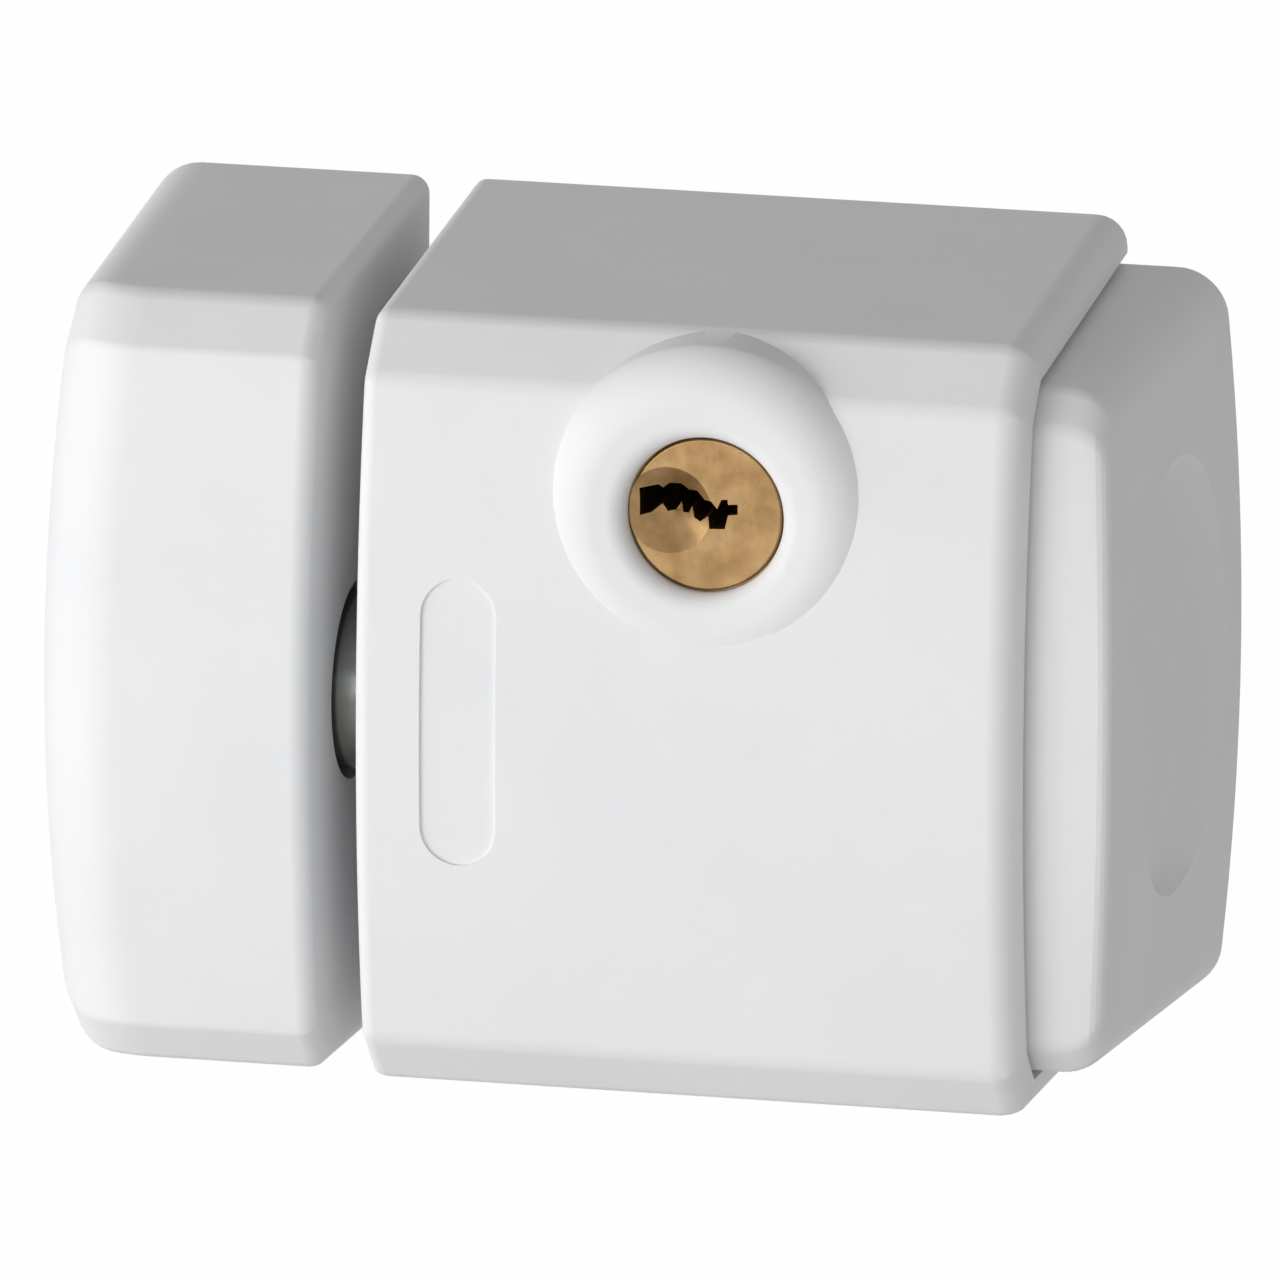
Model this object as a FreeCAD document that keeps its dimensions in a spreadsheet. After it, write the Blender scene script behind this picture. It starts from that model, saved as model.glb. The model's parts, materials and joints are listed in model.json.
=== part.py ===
# Surface-mounted window lock, closed: a lock case with a push button and a key cylinder, and a strike.
# Lengths are in millimetres. X runs along the bolt, towards the button. Y runs back into the window.
# Z is up. The origin lies on the mounting face, in the middle of the lock case.
import FreeCAD, Part
import math
import os
import re

import Sketcher

V = FreeCAD.Vector

# Driving dimensions. "depth" is always counted forwards, from the mounting face.
SIZES = {
    # side view of the lock case: back, top front edge, lower end of the slanted band, crown
    "case_half": 32.6,
    "case_edge_depth": 34.7,
    "case_edge_half": 30.64,
    "case_band_depth": 39.08,
    "case_band_half": 26.37,
    "case_crown": 41.84,
    "case_reach": 26,
    "case_lean": 0.6,
    "case_wall": 2.9,
    "lip_round": 2.4,
    "edge_round": 2.4,
    "side_round": 1.2,
    # how far a corner of that side view moves in, for each millimetre of inset
    "edge_in_depth": 0.431,
    "edge_in_half": 0.979,
    "band_in_depth": 0.924,
    "band_in_half": 0.507,
    # side view of the strike
    "strike_half": 32.6,
    "strike_edge_depth": 33.2,
    "strike_edge_half": 30.74,
    "strike_band_depth": 36.9,
    "strike_band_half": 27.0,
    "strike_crown": 39.9,
    "strike_near": 29.5,
    "strike_far": 53.0,
    "strike_near_lean": 0.7,
    "strike_bulge": 1.9,
    "strike_lean_angle": 1.0,
    "strike_wall": 2.4,
    "strike_left_wall": 3.3,
    "strike_round": 6.0,
    "strike_plate": 4.0,
    "strike_post_end": 36.4,
    "gusset_thick": 2.5,
    "gusset_left": -40.3,
    "gusset_front": 30.0,
    "liner_wall": 1.7,
    "strike_block_left": -49.3,
    "strike_block_right": -33.2,
    "strike_block_half": 27.0,
    "strike_wall_thick": 6.0,
    "strike_mount_x": -44.8,
    "strike_mount_z": 11.0,
    "strike_post_x": -45.0,
    "strike_post_z": 21.6,
    # key cylinder
    "cyl_x": 1.3,
    "cyl_z": 17.4,
    "boss_depth": 41.8,
    "boss_flat": 8.2,
    "boss_side": 13.05,
    "boss_foot": 13.25,
    "boss_shoulder": 38.6,
    "boss_bow_depth": 40.9,
    "boss_bow": 11.55,
    "plug_radius": 6.0,
    "plug_front": 40.3,
    "plug_back": 16.1,
    "plug_edge": 0.3,
    "plug_gap": 0.15,
    "plug_lip": 1.5,
    "neck_radius": 4.0,
    "neck_back": 12.2,
    "tail_side": 5.0,
    "tail_back": 10.2,
    "running_gap": 0.05,
    "seat_gap": 0.1,
    "barrel_radius": 8.6,
    "barrel_back": 14.5,
    "barrel_front": 34.5,
    "collar_radius": 7.5,
    "collar_front": 39.8,
    "chamber_end": 19.5,
    "chamber_half": 4.2,
    "chamber_front": 33.3,
    "chamber_back": 15.0,
    "pin_radius": 1.3,
    "pin_first": 31.0,
    "pin_step": 3.2,
    "shear_gap": 0.15,
    "keyway_deep": 24.0,
    "dimple_x": -2.95,
    "dimple_z": 0.2,
    "dimple_radius": 3.4,
    "dimple_deep": 1.6,
    "dimple_flat": 0.6,
    "pin_low": 0.2,
    "driver_length": 4.0,
    "pin_spring_end": 18.4,
    "pin_spring_radius": 0.85,
    "pin_spring_wire": 0.35,
    "pin_spring_turns": 5,
    "strip_thick": 0.9,
    "strip_half": 2.0,
    "strip_front": 32.7,
    "strip_back": 16.0,
    "ear_x": -10.4,
    "ear_low": 13.2,
    "ear_high": 22.2,
    "ear_margin": 3.2,
    "ear_thick": 3.5,
    "stub_radius": 3.0,
    "stub_high": 4.2,
    "cam_reach": 11.0,
    "cam_width": 5.0,
    "cam_round": 4.2,
    "cam_flare": 0.9,
    "cam_nose": 2.0,
    "clip_radius": 6.2,
    "clip_thick": 0.8,
    "clip_back": 13.3,
    "clip_groove": 0.8,
    "clip_mouth": 2.4,
    # bolt and its guide
    "bolt_depth": 23.8,
    "bolt_z": -1.8,
    "bolt_radius": 7.0,
    "bolt_tip": -38.8,
    "bolt_end": 11.0,
    "bolt_chamfer": 1.2,
    "bolt_end_chamfer": 0.5,
    "bolt_way": 7.5,
    "bolt_pin_radius": 1.5,
    "bolt_pin_x": 6.0,
    "bolt_pin_back": 14.0,
    "bolt_pin_front": 33.0,
    "spring_wire": 1.5,
    "spring_radius": 8.3,
    "spring_turns": 5.5,
    "spring_gap": 0.15,
    "bush_flange": 10.2,
    "bush_flange_thick": 1.2,
    "bolt_hole": 7.8,
    "bush_wall": 2.0,
    "guide_left": -22.2,
    "guide_right": -16.5,
    "guide_half": 12.5,
    "guide_front": 34.0,
    "travel": 13.0,
    # push button
    "button_inset": 3.5,
    "button_wall": 2.2,
    "button_left": 10.6,
    "button_end": 35.6,
    "button_back": 1.0,
    "button_cavity": 31.0,
    "button_end_angle": 4.3,
    "button_end_drop": 2.1,
    "button_boss_depth": 18,
    "button_boss_half": 11,
    "button_round": 3.6,
    "recess_depth": 17.5,
    "recess_z": 0.8,
    "recess_half_width": 12.2,
    "recess_half_height": 17.4,
    "recess_sink": 1.6,
    "recess_slope": 0.7,
    # where the oval's side arc meets its end arc, and which way that point moves with an inset
    "recess_join_x": 10.6,
    "recess_join_z": 8.8,
    "recess_join_out": 0.98,
    "recess_join_up": 0.2,
    # base casting and carriage
    "plate": 3.0,
    "plate_left": -22.2,
    "plate_step": 8.0,
    "plate_right": 24.0,
    "plate_half": 29.2,
    "plate_narrow": 26.0,
    "rail_in": 15.3,
    "rail_out": 17.3,
    "rail_front": 7.9,
    "rail_end": 22.0,
    "leaf_gap": 1.6,
    "carriage_half": 15.0,
    "carriage_back": 3.3,
    "carriage_front": 8.0,
    "carriage_left": -1.0,
    "carriage_right": 30.0,
    "flange_front": 24.0,
    "block_half": 10.4,
    "block_left": 0.0,
    "block_right": 12.0,
    "block_front": 33.4,
    "flange_thick": 3.0,
    "rib_thick": 2.0,
    "rib_front": 12.0,
    "ramp": 4.0,
    "notch_x": 8.4,
    "notch_half": 0.8,
    "notch_deep": 1.8,
    "stop_x": 17.0,
    "stop_z": -8.0,
    "stop_radius": 2.0,
    "stop_front": 6.9,
    "stop_back": 0.3,
    "free_gap": 0.3,
    # fasteners
    "mount_x": 4.5,
    "mount_half_x": 12.5,
    "mount_half_z": 21.6,
    "mount_hole": 2.4,
    "mount_sink": 4.2,
    "mount_sunk": 1.4,
    "post_x": -18.5,
    "post_radius": 3.3,
    "post_end": 37.8,
    "pilot_front": 16.0,
    "boss_pilot": 2.4,
    "pilot_radius": 1.25,
    "screw_radius": 1.2,
    "screw_head": 2.6,
    "head_high": 1.8,
    "socket_floor": 0.8,
    "long_screw": 14.0,
    "button_screw": 5.2,
    "ear_screw": 6.8,
    "cam_screw": 4.0,
    "cam_screw_head": 3.0,
    "screw_slack": 0.2,
    # leaf catch
    "leaf_low": 27.2,
    "leaf_thick": 0.8,
    "leaf_left": -21.5,
    "leaf_right": 8.8,
    "leaf_back": 4.0,
    "leaf_front": 12.4,
    "hook_front": 7.6,
    "lug_right": -13.5,
    "lug_low": 25.2,
    "rivet_radius": 1.0,
    "rivet_head": 1.9,
    "rivet_rise": 0.8,
    "rivet_y": -8.2,
    # name panel
    "panel_x": -17.8,
    "panel_half_width": 3.0,
    "panel_half_height": 11.4,
    "panel_sink": 0.3,
    # how far a cutting shape runs past the face that it opens, and a length beyond every piece
    "past": 1.0,
    "far": 80.0,
}
PIN_LENGTHS = (3.4, 2.6, 3.9, 3.0, 4.2)
# wavy section of the keyway, across and up from the plug's axis
KEYWAY = (
    (-5.3, 1.7), (-3.9, 1.95), (-3.6, 1.65), (-3.05, 2.1), (-2.1, 2.15), (-1.5, 1.7), (-0.8, 1.75),
    (-0.15, 1.1), (0.4, 1.1), (0.9, 0.5), (1.2, 1.25), (1.7, 1.3), (1.75, 0.9), (2.5, 0.95), (2.5, 0.15),
    (1.75, 0.05), (1.5, -1.05), (0.3, -1.1), (0.15, -0.15), (-0.55, -0.7), (-1.1, -0.5), (-1.3, 0.35),
    (-1.6, -0.25), (-2.1, -0.3), (-2.25, 0.5), (-2.7, -0.25), (-3.35, -0.35), (-3.75, 0.25), (-4.5, -0.35),
    (-5.3, -0.5),
)
RIVETS = ("-20", "-16.5")
SAMPLES = 48

doc = FreeCAD.newDocument("window_lock")
sheet = doc.addObject("Spreadsheet::Sheet", "sizes")
for row, (alias, number) in enumerate(SIZES.items(), start=1):
    sheet.set(f"A{row}", alias)
    sheet.set(f"B{row}", str(number))
    sheet.setAlias(f"B{row}", alias)
doc.recompute()

nodes = []


# Helpers: formulas, primitives and booleans
def expr(text):
    """Turns the names of cells in a formula into references to the sheet."""
    return re.sub(r"[a-z_]+", lambda word: f"sizes.{word[0]}" if word[0] in SIZES else word[0], str(text))


def value(text):
    """Works out a formula of cells as a number."""
    return float(sheet.evalExpression(expr(text)))


def bind(item, prop, text):
    """Binds a property to a formula of cells."""
    item.setExpression(prop, expr(text))


def node(item, label):
    """Names an object as one piece of the lock."""
    item.Label = label
    nodes.append(item)
    return item


TURN = {
    "x": FreeCAD.Rotation(V(0, 1, 0), 90),
    "y": FreeCAD.Rotation(V(1, 0, 0), -90),
    "z": FreeCAD.Rotation(),
}


def box(x, y, z):
    """Block between two formulas on each axis."""
    solid = doc.addObject("Part::Box", "block")
    for prop, axis, (low, high) in (("Length", "x", x), ("Width", "y", y), ("Height", "z", z)):
        bind(solid, prop, f"({high}) - ({low})")
        bind(solid, f"Placement.Base.{axis}", low)
    return solid


def place_along(solid, axis, low, centre):
    """Turns a round primitive along an axis, from low, about a centre on the two other axes."""
    base = dict(zip([name for name in "xyz" if name != axis], centre))
    base[axis] = low
    solid.Placement = FreeCAD.Placement(V(), TURN[axis])
    for name, text in base.items():
        bind(solid, f"Placement.Base.{name}", text)
    return solid


def rod(axis, radius, low, high, centre):
    """Cylinder along an axis."""
    solid = doc.addObject("Part::Cylinder", "rod")
    bind(solid, "Radius", radius)
    bind(solid, "Height", f"({high}) - ({low})")
    return place_along(solid, axis, low, centre)


def prism(axis, corner_radius, low, high, centre):
    """Six-sided prism along an axis, such as a socket."""
    solid = doc.addObject("Part::Prism", "prism")
    solid.Polygon = 6
    bind(solid, "Circumradius", corner_radius)
    bind(solid, "Height", f"({high}) - ({low})")
    return place_along(solid, axis, low, centre)


def join(*parts):
    """Fuses solids."""
    fused = doc.addObject("Part::MultiFuse", "joined")
    fused.Shapes = list(parts)
    return fused


def cut(base, *tools):
    """Takes solids away from a base."""
    result = doc.addObject("Part::Cut", "cut")
    result.Base = base
    result.Tool = tools[0] if len(tools) == 1 else join(*tools)
    return result


def group(*parts):
    """Keeps separate solids together in one node."""
    bundle = doc.addObject("Part::Compound", "set")
    bundle.Links = list(parts)
    return bundle


def ring(axis, inner, outer, low, high, centre):
    """Ring along an axis."""
    bore = rod(axis, inner, f"{low} - past", f"{high} + past", centre)
    return cut(rod(axis, outer, low, high, centre), bore)


def screw(axis, point, centre, length, way, head="screw_head"):
    """Socket screw: its head starts at a point on an axis and rises one way, its shank runs the other way."""
    def stretch(start, end):
        ends = [f"({point}) + {way} * ({start})", f"({point}) + {way} * ({end})"]
        return ends if way > 0 else ends[::-1]

    body = join(rod(axis, head, *stretch("0", "head_high"), centre),
                rod(axis, "screw_radius", *stretch(f"-({length})", "past / 2"), centre))
    return cut(body, prism(axis, f"{head} / 2", *stretch("socket_floor", "head_high + past"), centre))


# Helpers: sketches and features of a body
def new_body(label):
    """Starts a body that is one piece of the lock."""
    return node(doc.addObject("PartDesign::Body", label), label)


def sketch_on(body, role, offset=("0", "0", "0"), turn=None):
    """Adds a sketch on an origin plane of the body, moved and turned within it."""
    sketch = body.newObject("Sketcher::SketchObject", "outline")
    plane = [item for item in body.Origin.OriginFeatures if item.Role == role][0]
    sketch.AttachmentSupport = (plane, [""])
    sketch.MapMode = "FlatFace"
    if turn:
        sketch.AttachmentOffset = FreeCAD.Placement(V(), FreeCAD.Rotation(turn[0], turn[1]))
    for axis, text in zip("xyz", offset):
        if text != "0":
            bind(sketch, f"AttachmentOffset.Base.{axis}", text)
    return sketch


def circle_through(start, middle, end):
    """Centre and radius of the circle through three points."""
    curve = Part.Arc(start, middle, end).toShape().Curve
    return curve.Center, curve.Radius


def turns_left(start, middle, end):
    """Whether an arc runs anticlockwise."""
    return (middle - start).cross(end - middle).z > 0


def pin_down(sketch, geometry, point, texts, spot):
    """Binds a point of a sketch to two formulas."""
    ways = (("DistanceX", -2, texts[0], spot.x), ("DistanceY", -1, texts[1], spot.y))
    for kind, axis, text, number in ways:
        if abs(number) < 1e-9:
            sketch.addConstraint(Sketcher.Constraint("PointOnObject", geometry, point, axis))
            continue
        index = sketch.addConstraint(Sketcher.Constraint(kind, -1, 1, geometry, point, number))
        sketch.setExpression(f"Constraints[{index}]", expr(text))


def outline(sketch, corners):
    """Draws a closed outline. A corner is (x, y), or (x, y, x_mid, y_mid) where an arc leaves it."""
    spots = [V(value(corner[0]), value(corner[1]), 0) for corner in corners]
    first = sketch.GeometryCount
    count = len(corners)
    ends = []
    for index, corner in enumerate(corners):
        start, end = spots[index], spots[(index + 1) % count]
        if len(corner) == 2:
            sketch.addGeometry(Part.LineSegment(start, end), False)
            ends.append((1, 2))
            continue
        middle = V(value(corner[2]), value(corner[3]), 0)
        centre, radius = circle_through(start, middle, end)
        angles = [math.atan2(spot.y - centre.y, spot.x - centre.x) for spot in (start, end)]
        left = turns_left(start, middle, end)
        if not left:
            angles.reverse()
        if angles[1] < angles[0]:
            angles[1] += 2 * math.pi
        sketch.addGeometry(Part.ArcOfCircle(Part.Circle(centre, V(0, 0, 1), radius), *angles), False)
        ends.append((1, 2) if left else (2, 1))
    for index, corner in enumerate(corners):
        following = (index + 1) % count
        sketch.addConstraint(Sketcher.Constraint(
            "Coincident", first + index, ends[index][1], first + following, ends[following][0]))
        pin_down(sketch, first + index, ends[index][0], corner, spots[index])
    for index, corner in enumerate(corners):
        if len(corner) == 4:
            middle = V(value(corner[2]), value(corner[3]), 0)
            mark = sketch.addGeometry(Part.Point(middle), True)
            pin_down(sketch, mark, 1, corner[2:], middle)
            sketch.addConstraint(Sketcher.Constraint("PointOnObject", mark, 1, first + index))
    return sketch


def circle(sketch, radius, x="0", y="0"):
    """Draws a circle."""
    spot = V(value(x), value(y), 0)
    index = sketch.addGeometry(Part.Circle(spot, V(0, 0, 1), value(radius)), False)
    pin_down(sketch, index, 3, (x, y), spot)
    size = sketch.addConstraint(Sketcher.Constraint("Radius", index, value(radius)))
    sketch.setExpression(f"Constraints[{size}]", expr(radius))
    return sketch


def rectangle(sketch, left, right, low, high):
    """Draws a rectangle between formulas."""
    return outline(sketch, [(left, low), (right, low), (right, high), (left, high)])


def volume_of(body):
    """Volume of a body as built so far."""
    doc.recompute()
    return 0 if body.Shape.isNull() else body.Shape.Volume


def pad(body, sketch, length):
    """Adds material along the sketch's normal."""
    feature = body.newObject("PartDesign::Pad", "pad")
    feature.Profile = sketch
    bind(feature, "Length", length)
    doc.recompute()
    return feature


def pocket(body, sketch, length, both=False, forwards=False):
    """Takes material away behind the sketch, on both sides of it, or in front of it."""
    before = volume_of(body)
    feature = body.newObject("PartDesign::Pocket", "pocket")
    feature.Profile = sketch
    bind(feature, "Length", length)
    if both:
        feature.SideType = "Symmetric"
    if forwards:
        feature.Reversed = True
    assert volume_of(body) < before - 1e-3, f"a pocket in {body.Label} cuts nothing"
    return feature


def revolve(body, sketch, axis="H_Axis"):
    """Adds a round shape about an axis of the sketch."""
    feature = body.newObject("PartDesign::Revolution", "turned")
    feature.Profile = sketch
    feature.ReferenceAxis = (sketch, [axis])
    feature.Angle = 360
    doc.recompute()
    return feature


def fillet(body, radius, chosen):
    """Rounds the edges of the body that a test picks out."""
    doc.recompute()
    tip = body.Tip
    names = [f"Edge{index}" for index, edge in enumerate(tip.Shape.Edges, start=1) if chosen(edge)]
    assert names, f"no edge of {body.Label} to round"
    feature = body.newObject("PartDesign::Fillet", "round")
    feature.Base = (tip, names)
    bind(feature, "Radius", radius)
    doc.recompute()
    return feature


def spans(edge, axis):
    """Length of an edge along an axis."""
    spots = [vertex.Point for vertex in edge.Vertexes]
    return max(getattr(spot, axis) for spot in spots) - min(getattr(spot, axis) for spot in spots)


def near(number, text, slack=0.05):
    """Whether a number is the value of a formula."""
    return abs(number - value(text)) < slack


def mounting_hole(body, x, z, plate):
    """Screw hole through a plate, with a sunk seat for the head in its front."""
    through = circle(sketch_on(body, "XZ_Plane", ("0", "0", "-past")), "mount_hole", x, z)
    pocket(body, through, f"{plate} + past * 2", forwards=True)
    seat = circle(sketch_on(body, "XZ_Plane", ("0", "0", f"{plate} - mount_sunk")), "mount_sink", x, z)
    pocket(body, seat, "mount_sunk + past", forwards=True)


def cover_hole(body, x, z, plate):
    """Screw hole through a plate, with a sunk seat for the head in its back."""
    through = circle(sketch_on(body, "XZ_Plane", ("0", "0", "-past")), "screw_radius + screw_slack", x, z)
    pocket(body, through, f"{plate} + past * 2", forwards=True)
    seat = circle(sketch_on(body, "XZ_Plane", ("0", "0", "-past")), "screw_head + free_gap", x, z)
    pocket(body, seat, "head_high + past", forwards=True)


def side_view(name, inset="0", back="0"):
    """Corners of the side view of the case or the strike, moved in by an inset."""
    half = f"{name}_half - ({inset}) - ({back}) * ({name}_half - {name}_edge_half) / {name}_edge_depth"
    edge = (f"{name}_edge_depth - ({inset}) * edge_in_depth", f"{name}_edge_half - ({inset}) * edge_in_half")
    band = (f"{name}_band_depth - ({inset}) * band_in_depth", f"{name}_band_half - ({inset}) * band_in_half")
    crown = f"-({name}_crown - ({inset}))"
    return [
        (f"-({back})", f"-({half})"),
        (f"-({edge[0]})", f"-({edge[1]})"),
        (f"-({band[0]})", f"-({band[1]})", crown, "0"),
        (f"-({band[0]})", band[1]),
        (f"-({edge[0]})", edge[1]),
        (f"-({back})", half),
    ]


def round_long_edges(body, name, inset="0"):
    """Rounds the edges that run along X between top, slanted band and crown."""
    for corner, radius in (("edge", "edge_round"), ("band", "edge_round * 3")):
        depth = f"-({name}_{corner}_depth - {inset} * {corner}_in_depth)"
        fillet(body, radius, lambda edge: spans(edge, "x") > 10 and near(edge.Vertexes[0].Y, depth))


# Lock cover: crowned shell, open at the back and at the button's end
def make_lock_cover():
    """Shell with the round boss of the key cylinder, the bolt's hole and a plain name panel."""
    shell = doc.addObject("PartDesign::Body", "cover_shell")
    profile = outline(sketch_on(shell, "YZ_Plane", ("0", "0", "-case_reach")), side_view("case"))
    pad(shell, profile, "case_reach * 2")
    lean = outline(sketch_on(shell, "XY_Plane"), [
        ("-case_reach", "0"),
        ("-case_reach - past", "0"),
        ("-case_reach - past", "-case_crown - past"),
        ("-case_reach + case_lean", "-case_crown - past"),
    ])
    pocket(shell, lean, "far * 2", both=True)
    round_long_edges(shell, "case")
    fillet(shell, "side_round", lambda edge: edge.CenterOfMass.x < value("past - case_reach")
           and spans(edge, "x") < value("past") and not near(edge.CenterOfMass.y, "0"))
    boss = outline(sketch_on(shell, "YZ_Plane", ("0", "cyl_z", "cyl_x")), [
        ("-case_band_half", "0"),
        ("-case_band_half", "boss_foot"),
        ("-boss_shoulder", "boss_side", "-boss_bow_depth", "boss_bow"),
        ("-boss_depth", "boss_flat"),
        ("-boss_depth", "0"),
    ])
    revolve(shell, boss)
    cavity = outline(sketch_on(shell, "YZ_Plane", ("0", "0", "case_reach")), side_view("case", "case_wall"))
    pocket(shell, cavity, "case_reach * 2 - case_wall - case_lean")
    fillet(shell, "lip_round", lambda edge: near(edge.BoundBox.XMin, "case_reach")
           and near(edge.BoundBox.YMin, "-case_crown", 0.2))
    for z in ("mount_half_z", "-mount_half_z"):
        post = circle(sketch_on(shell, "XZ_Plane", ("0", "0", "plate + free_gap")),
                      "post_radius", "post_x", z)
        pad(shell, post, "post_end - plate - free_gap")
        pilot = circle(sketch_on(shell, "XZ_Plane"), "pilot_radius", "post_x", z)
        pocket(shell, pilot, "pilot_front", forwards=True)
    for z in ("ear_low", "ear_high"):
        stub = circle(sketch_on(shell, "XZ_Plane", ("0", "0", "barrel_front + seat_gap")),
                      "stub_radius", "ear_x", z)
        pad(shell, stub, "stub_high")
        pilot = circle(sketch_on(shell, "XZ_Plane", ("0", "0", "barrel_front")), "pilot_radius", "ear_x", z)
        pocket(shell, pilot, "stub_high", forwards=True)
    inside = ("0", "0", "barrel_front - past")
    collar = circle(sketch_on(shell, "XZ_Plane", inside), "collar_radius + seat_gap", "cyl_x", "cyl_z")
    pocket(shell, collar, "collar_front + seat_gap - barrel_front + past", forwards=True)
    plug_way = circle(sketch_on(shell, "XZ_Plane", inside), "plug_radius + plug_gap", "cyl_x", "cyl_z")
    pocket(shell, plug_way, "far", forwards=True)
    fillet(shell, "plug_lip", lambda edge: near(edge.CenterOfMass.y, "-boss_depth")
           and near(edge.BoundBox.XLength, "(plug_radius + plug_gap) * 2"))
    bolt_way = circle(sketch_on(shell, "YZ_Plane", ("0", "0", "-case_reach - past")),
                      "bolt_way", "-bolt_depth", "bolt_z")
    pocket(shell, bolt_way, "case_lean + case_wall + past * 2", forwards=True)
    node(cut(shell, sunk_panel()), "lock_cover")


def sunk_panel():
    """Plain pill-shaped panel to be sunk into the crowned front, which its floor follows."""
    straight = "panel_half_height - panel_half_width"
    right, left = "panel_x + panel_half_width", "panel_x - panel_half_width"
    pill = doc.addObject("PartDesign::Body", "panel_pill")
    pad(pill, outline(sketch_on(pill, "XZ_Plane", ("0", "0", "case_band_depth - past")), [
        (right, f"-({straight})"),
        (right, straight, "panel_x", "panel_half_height"),
        (left, straight),
        (left, f"-({straight})", "panel_x", "-panel_half_height"),
    ]), "case_crown - case_band_depth + past * 2")
    core = doc.addObject("PartDesign::Body", "panel_core")
    below = side_view("case", "panel_sink")
    pad(core, outline(sketch_on(core, "YZ_Plane", ("0", "0", "-case_reach")), below), "case_reach")
    return cut(pill, core)


# Push button: hollow, crowned at its end, with a shallow oval for the finger
def make_push_button():
    """Shell that slides in the cover's mouth, with two bosses for its screws."""
    button = new_body("push_button")
    profile = outline(sketch_on(button, "YZ_Plane", ("0", "0", "button_left")),
                      side_view("case", "button_inset", "button_back"))
    pad(button, profile, "button_end + button_round - button_left")
    tilt = (V(0, 1, 0), -value("button_end_angle"))
    end = outline(sketch_on(button, "XZ_Plane", turn=tilt), [
        ("button_end - button_end_drop", "-case_half", "button_end", "0"),
        ("button_end - button_end_drop", "case_half"),
        ("button_end + far", "case_half"),
        ("button_end + far", "-case_half"),
    ])
    pocket(button, end, "far * 2", both=True)
    fillet(button, "button_round", lambda edge: edge.CenterOfMass.x > value("button_end - button_round * 2")
           and edge.CenterOfMass.y < -value("button_back * 2"))
    cavity = outline(sketch_on(button, "YZ_Plane", ("0", "0", "button_cavity")),
                     side_view("case", "button_inset + button_wall"))
    pocket(button, cavity, "button_cavity - button_left + past")
    for z in ("button_boss_half", "-button_boss_half"):
        boss = circle(sketch_on(button, "YZ_Plane", ("0", "0", "carriage_right")),
                      "post_radius", "-button_boss_depth", z)
        pad(button, boss, "button_cavity - carriage_right + past / 2")
        pilot = circle(sketch_on(button, "YZ_Plane", ("0", "0", "carriage_right")),
                       "pilot_radius", "-button_boss_depth", z)
        pocket(button, pilot, "boss_pilot", forwards=True)
    before = volume_of(button)
    recess = button.newObject("PartDesign::SubtractiveLoft", "recess")
    recess.Profile = finger_oval(button, "past", "-past * recess_slope", tilt)
    recess.Sections = [finger_oval(button, "-recess_sink", "recess_sink * recess_slope", tilt)]
    recess.Ruled = True
    assert volume_of(button) < before - 100, "the finger's oval cuts nothing"


def finger_oval(body, rise, inset, tilt):
    """Sketch of the finger's oval at a height over the button's end, made smaller by an inset."""
    surface = "button_end - recess_depth * tan(button_end_angle)"
    sketch = sketch_on(body, "YZ_Plane", ("-recess_depth", "recess_z", f"{surface} + {rise}"), tilt)
    across, up = f"recess_half_width - {inset}", f"recess_half_height - {inset}"
    side, end = f"recess_join_x - {inset} * recess_join_out", f"recess_join_z - {inset} * recess_join_up"
    return outline(sketch, [
        (side, f"-({end})", across, "0"),
        (side, end, "0", up),
        (f"-({side})", end, f"-({across})", "0"),
        (f"-({side})", f"-({end})", "0", f"-({up})"),
    ])


# Base casting: plate on the sash, guide wall of the bolt, rails of the carriage, lug of the leaf catch
def make_base_casting():
    """Casting that carries everything and is screwed to the window's sash."""
    base = new_body("base_casting")
    pad(base, outline(sketch_on(base, "XZ_Plane"), [
        ("plate_left", "-plate_half"),
        ("plate_step", "-plate_half"),
        ("plate_step", "-plate_narrow"),
        ("plate_right", "-plate_narrow"),
        ("plate_right", "plate_narrow"),
        ("plate_step", "plate_narrow"),
        ("plate_step", "plate_half"),
        ("plate_left", "plate_half"),
    ]), "plate")
    uprights = [
        ("guide_left", "guide_right", "bolt_z - guide_half", "bolt_z + guide_half", "guide_front"),
        ("guide_right - past", "rail_end", "-rail_out", "-rail_in", "rail_front"),
        ("guide_right - past", "notch_x - leaf_gap", "rail_in", "rail_out", "rail_front"),
        ("notch_x + leaf_gap", "rail_end", "rail_in", "rail_out", "rail_front"),
        ("plate_left", "lug_right", "lug_low", "leaf_low", "leaf_front"),
    ]
    for left, right, low, high, front in uprights:
        pad(base, rectangle(sketch_on(base, "XZ_Plane"), left, right, low, high), front)
    bore = circle(sketch_on(base, "YZ_Plane", ("0", "0", "guide_left - past")),
                  "bolt_radius + bush_wall", "-bolt_depth", "bolt_z")
    pocket(base, bore, "guide_right - guide_left + past * 2", forwards=True)
    for side_z in (-1, 1):
        for side_x in (-1, 1):
            mounting_hole(base, f"mount_x + {side_x} * mount_half_x", f"{side_z} * mount_half_z", "plate")
        cover_hole(base, "post_x", f"{side_z} * mount_half_z", "plate")
    stop = circle(sketch_on(base, "XZ_Plane", ("0", "0", "-past")), "stop_radius", "stop_x", "stop_z")
    pocket(base, stop, "plate + past * 2", forwards=True)
    for x in RIVETS:
        hole = circle(sketch_on(base, "XY_Plane", ("0", "0", "lug_low - past")), "rivet_radius", x, "rivet_y")
        pocket(base, hole, "leaf_low - lug_low + past * 2", forwards=True)


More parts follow.
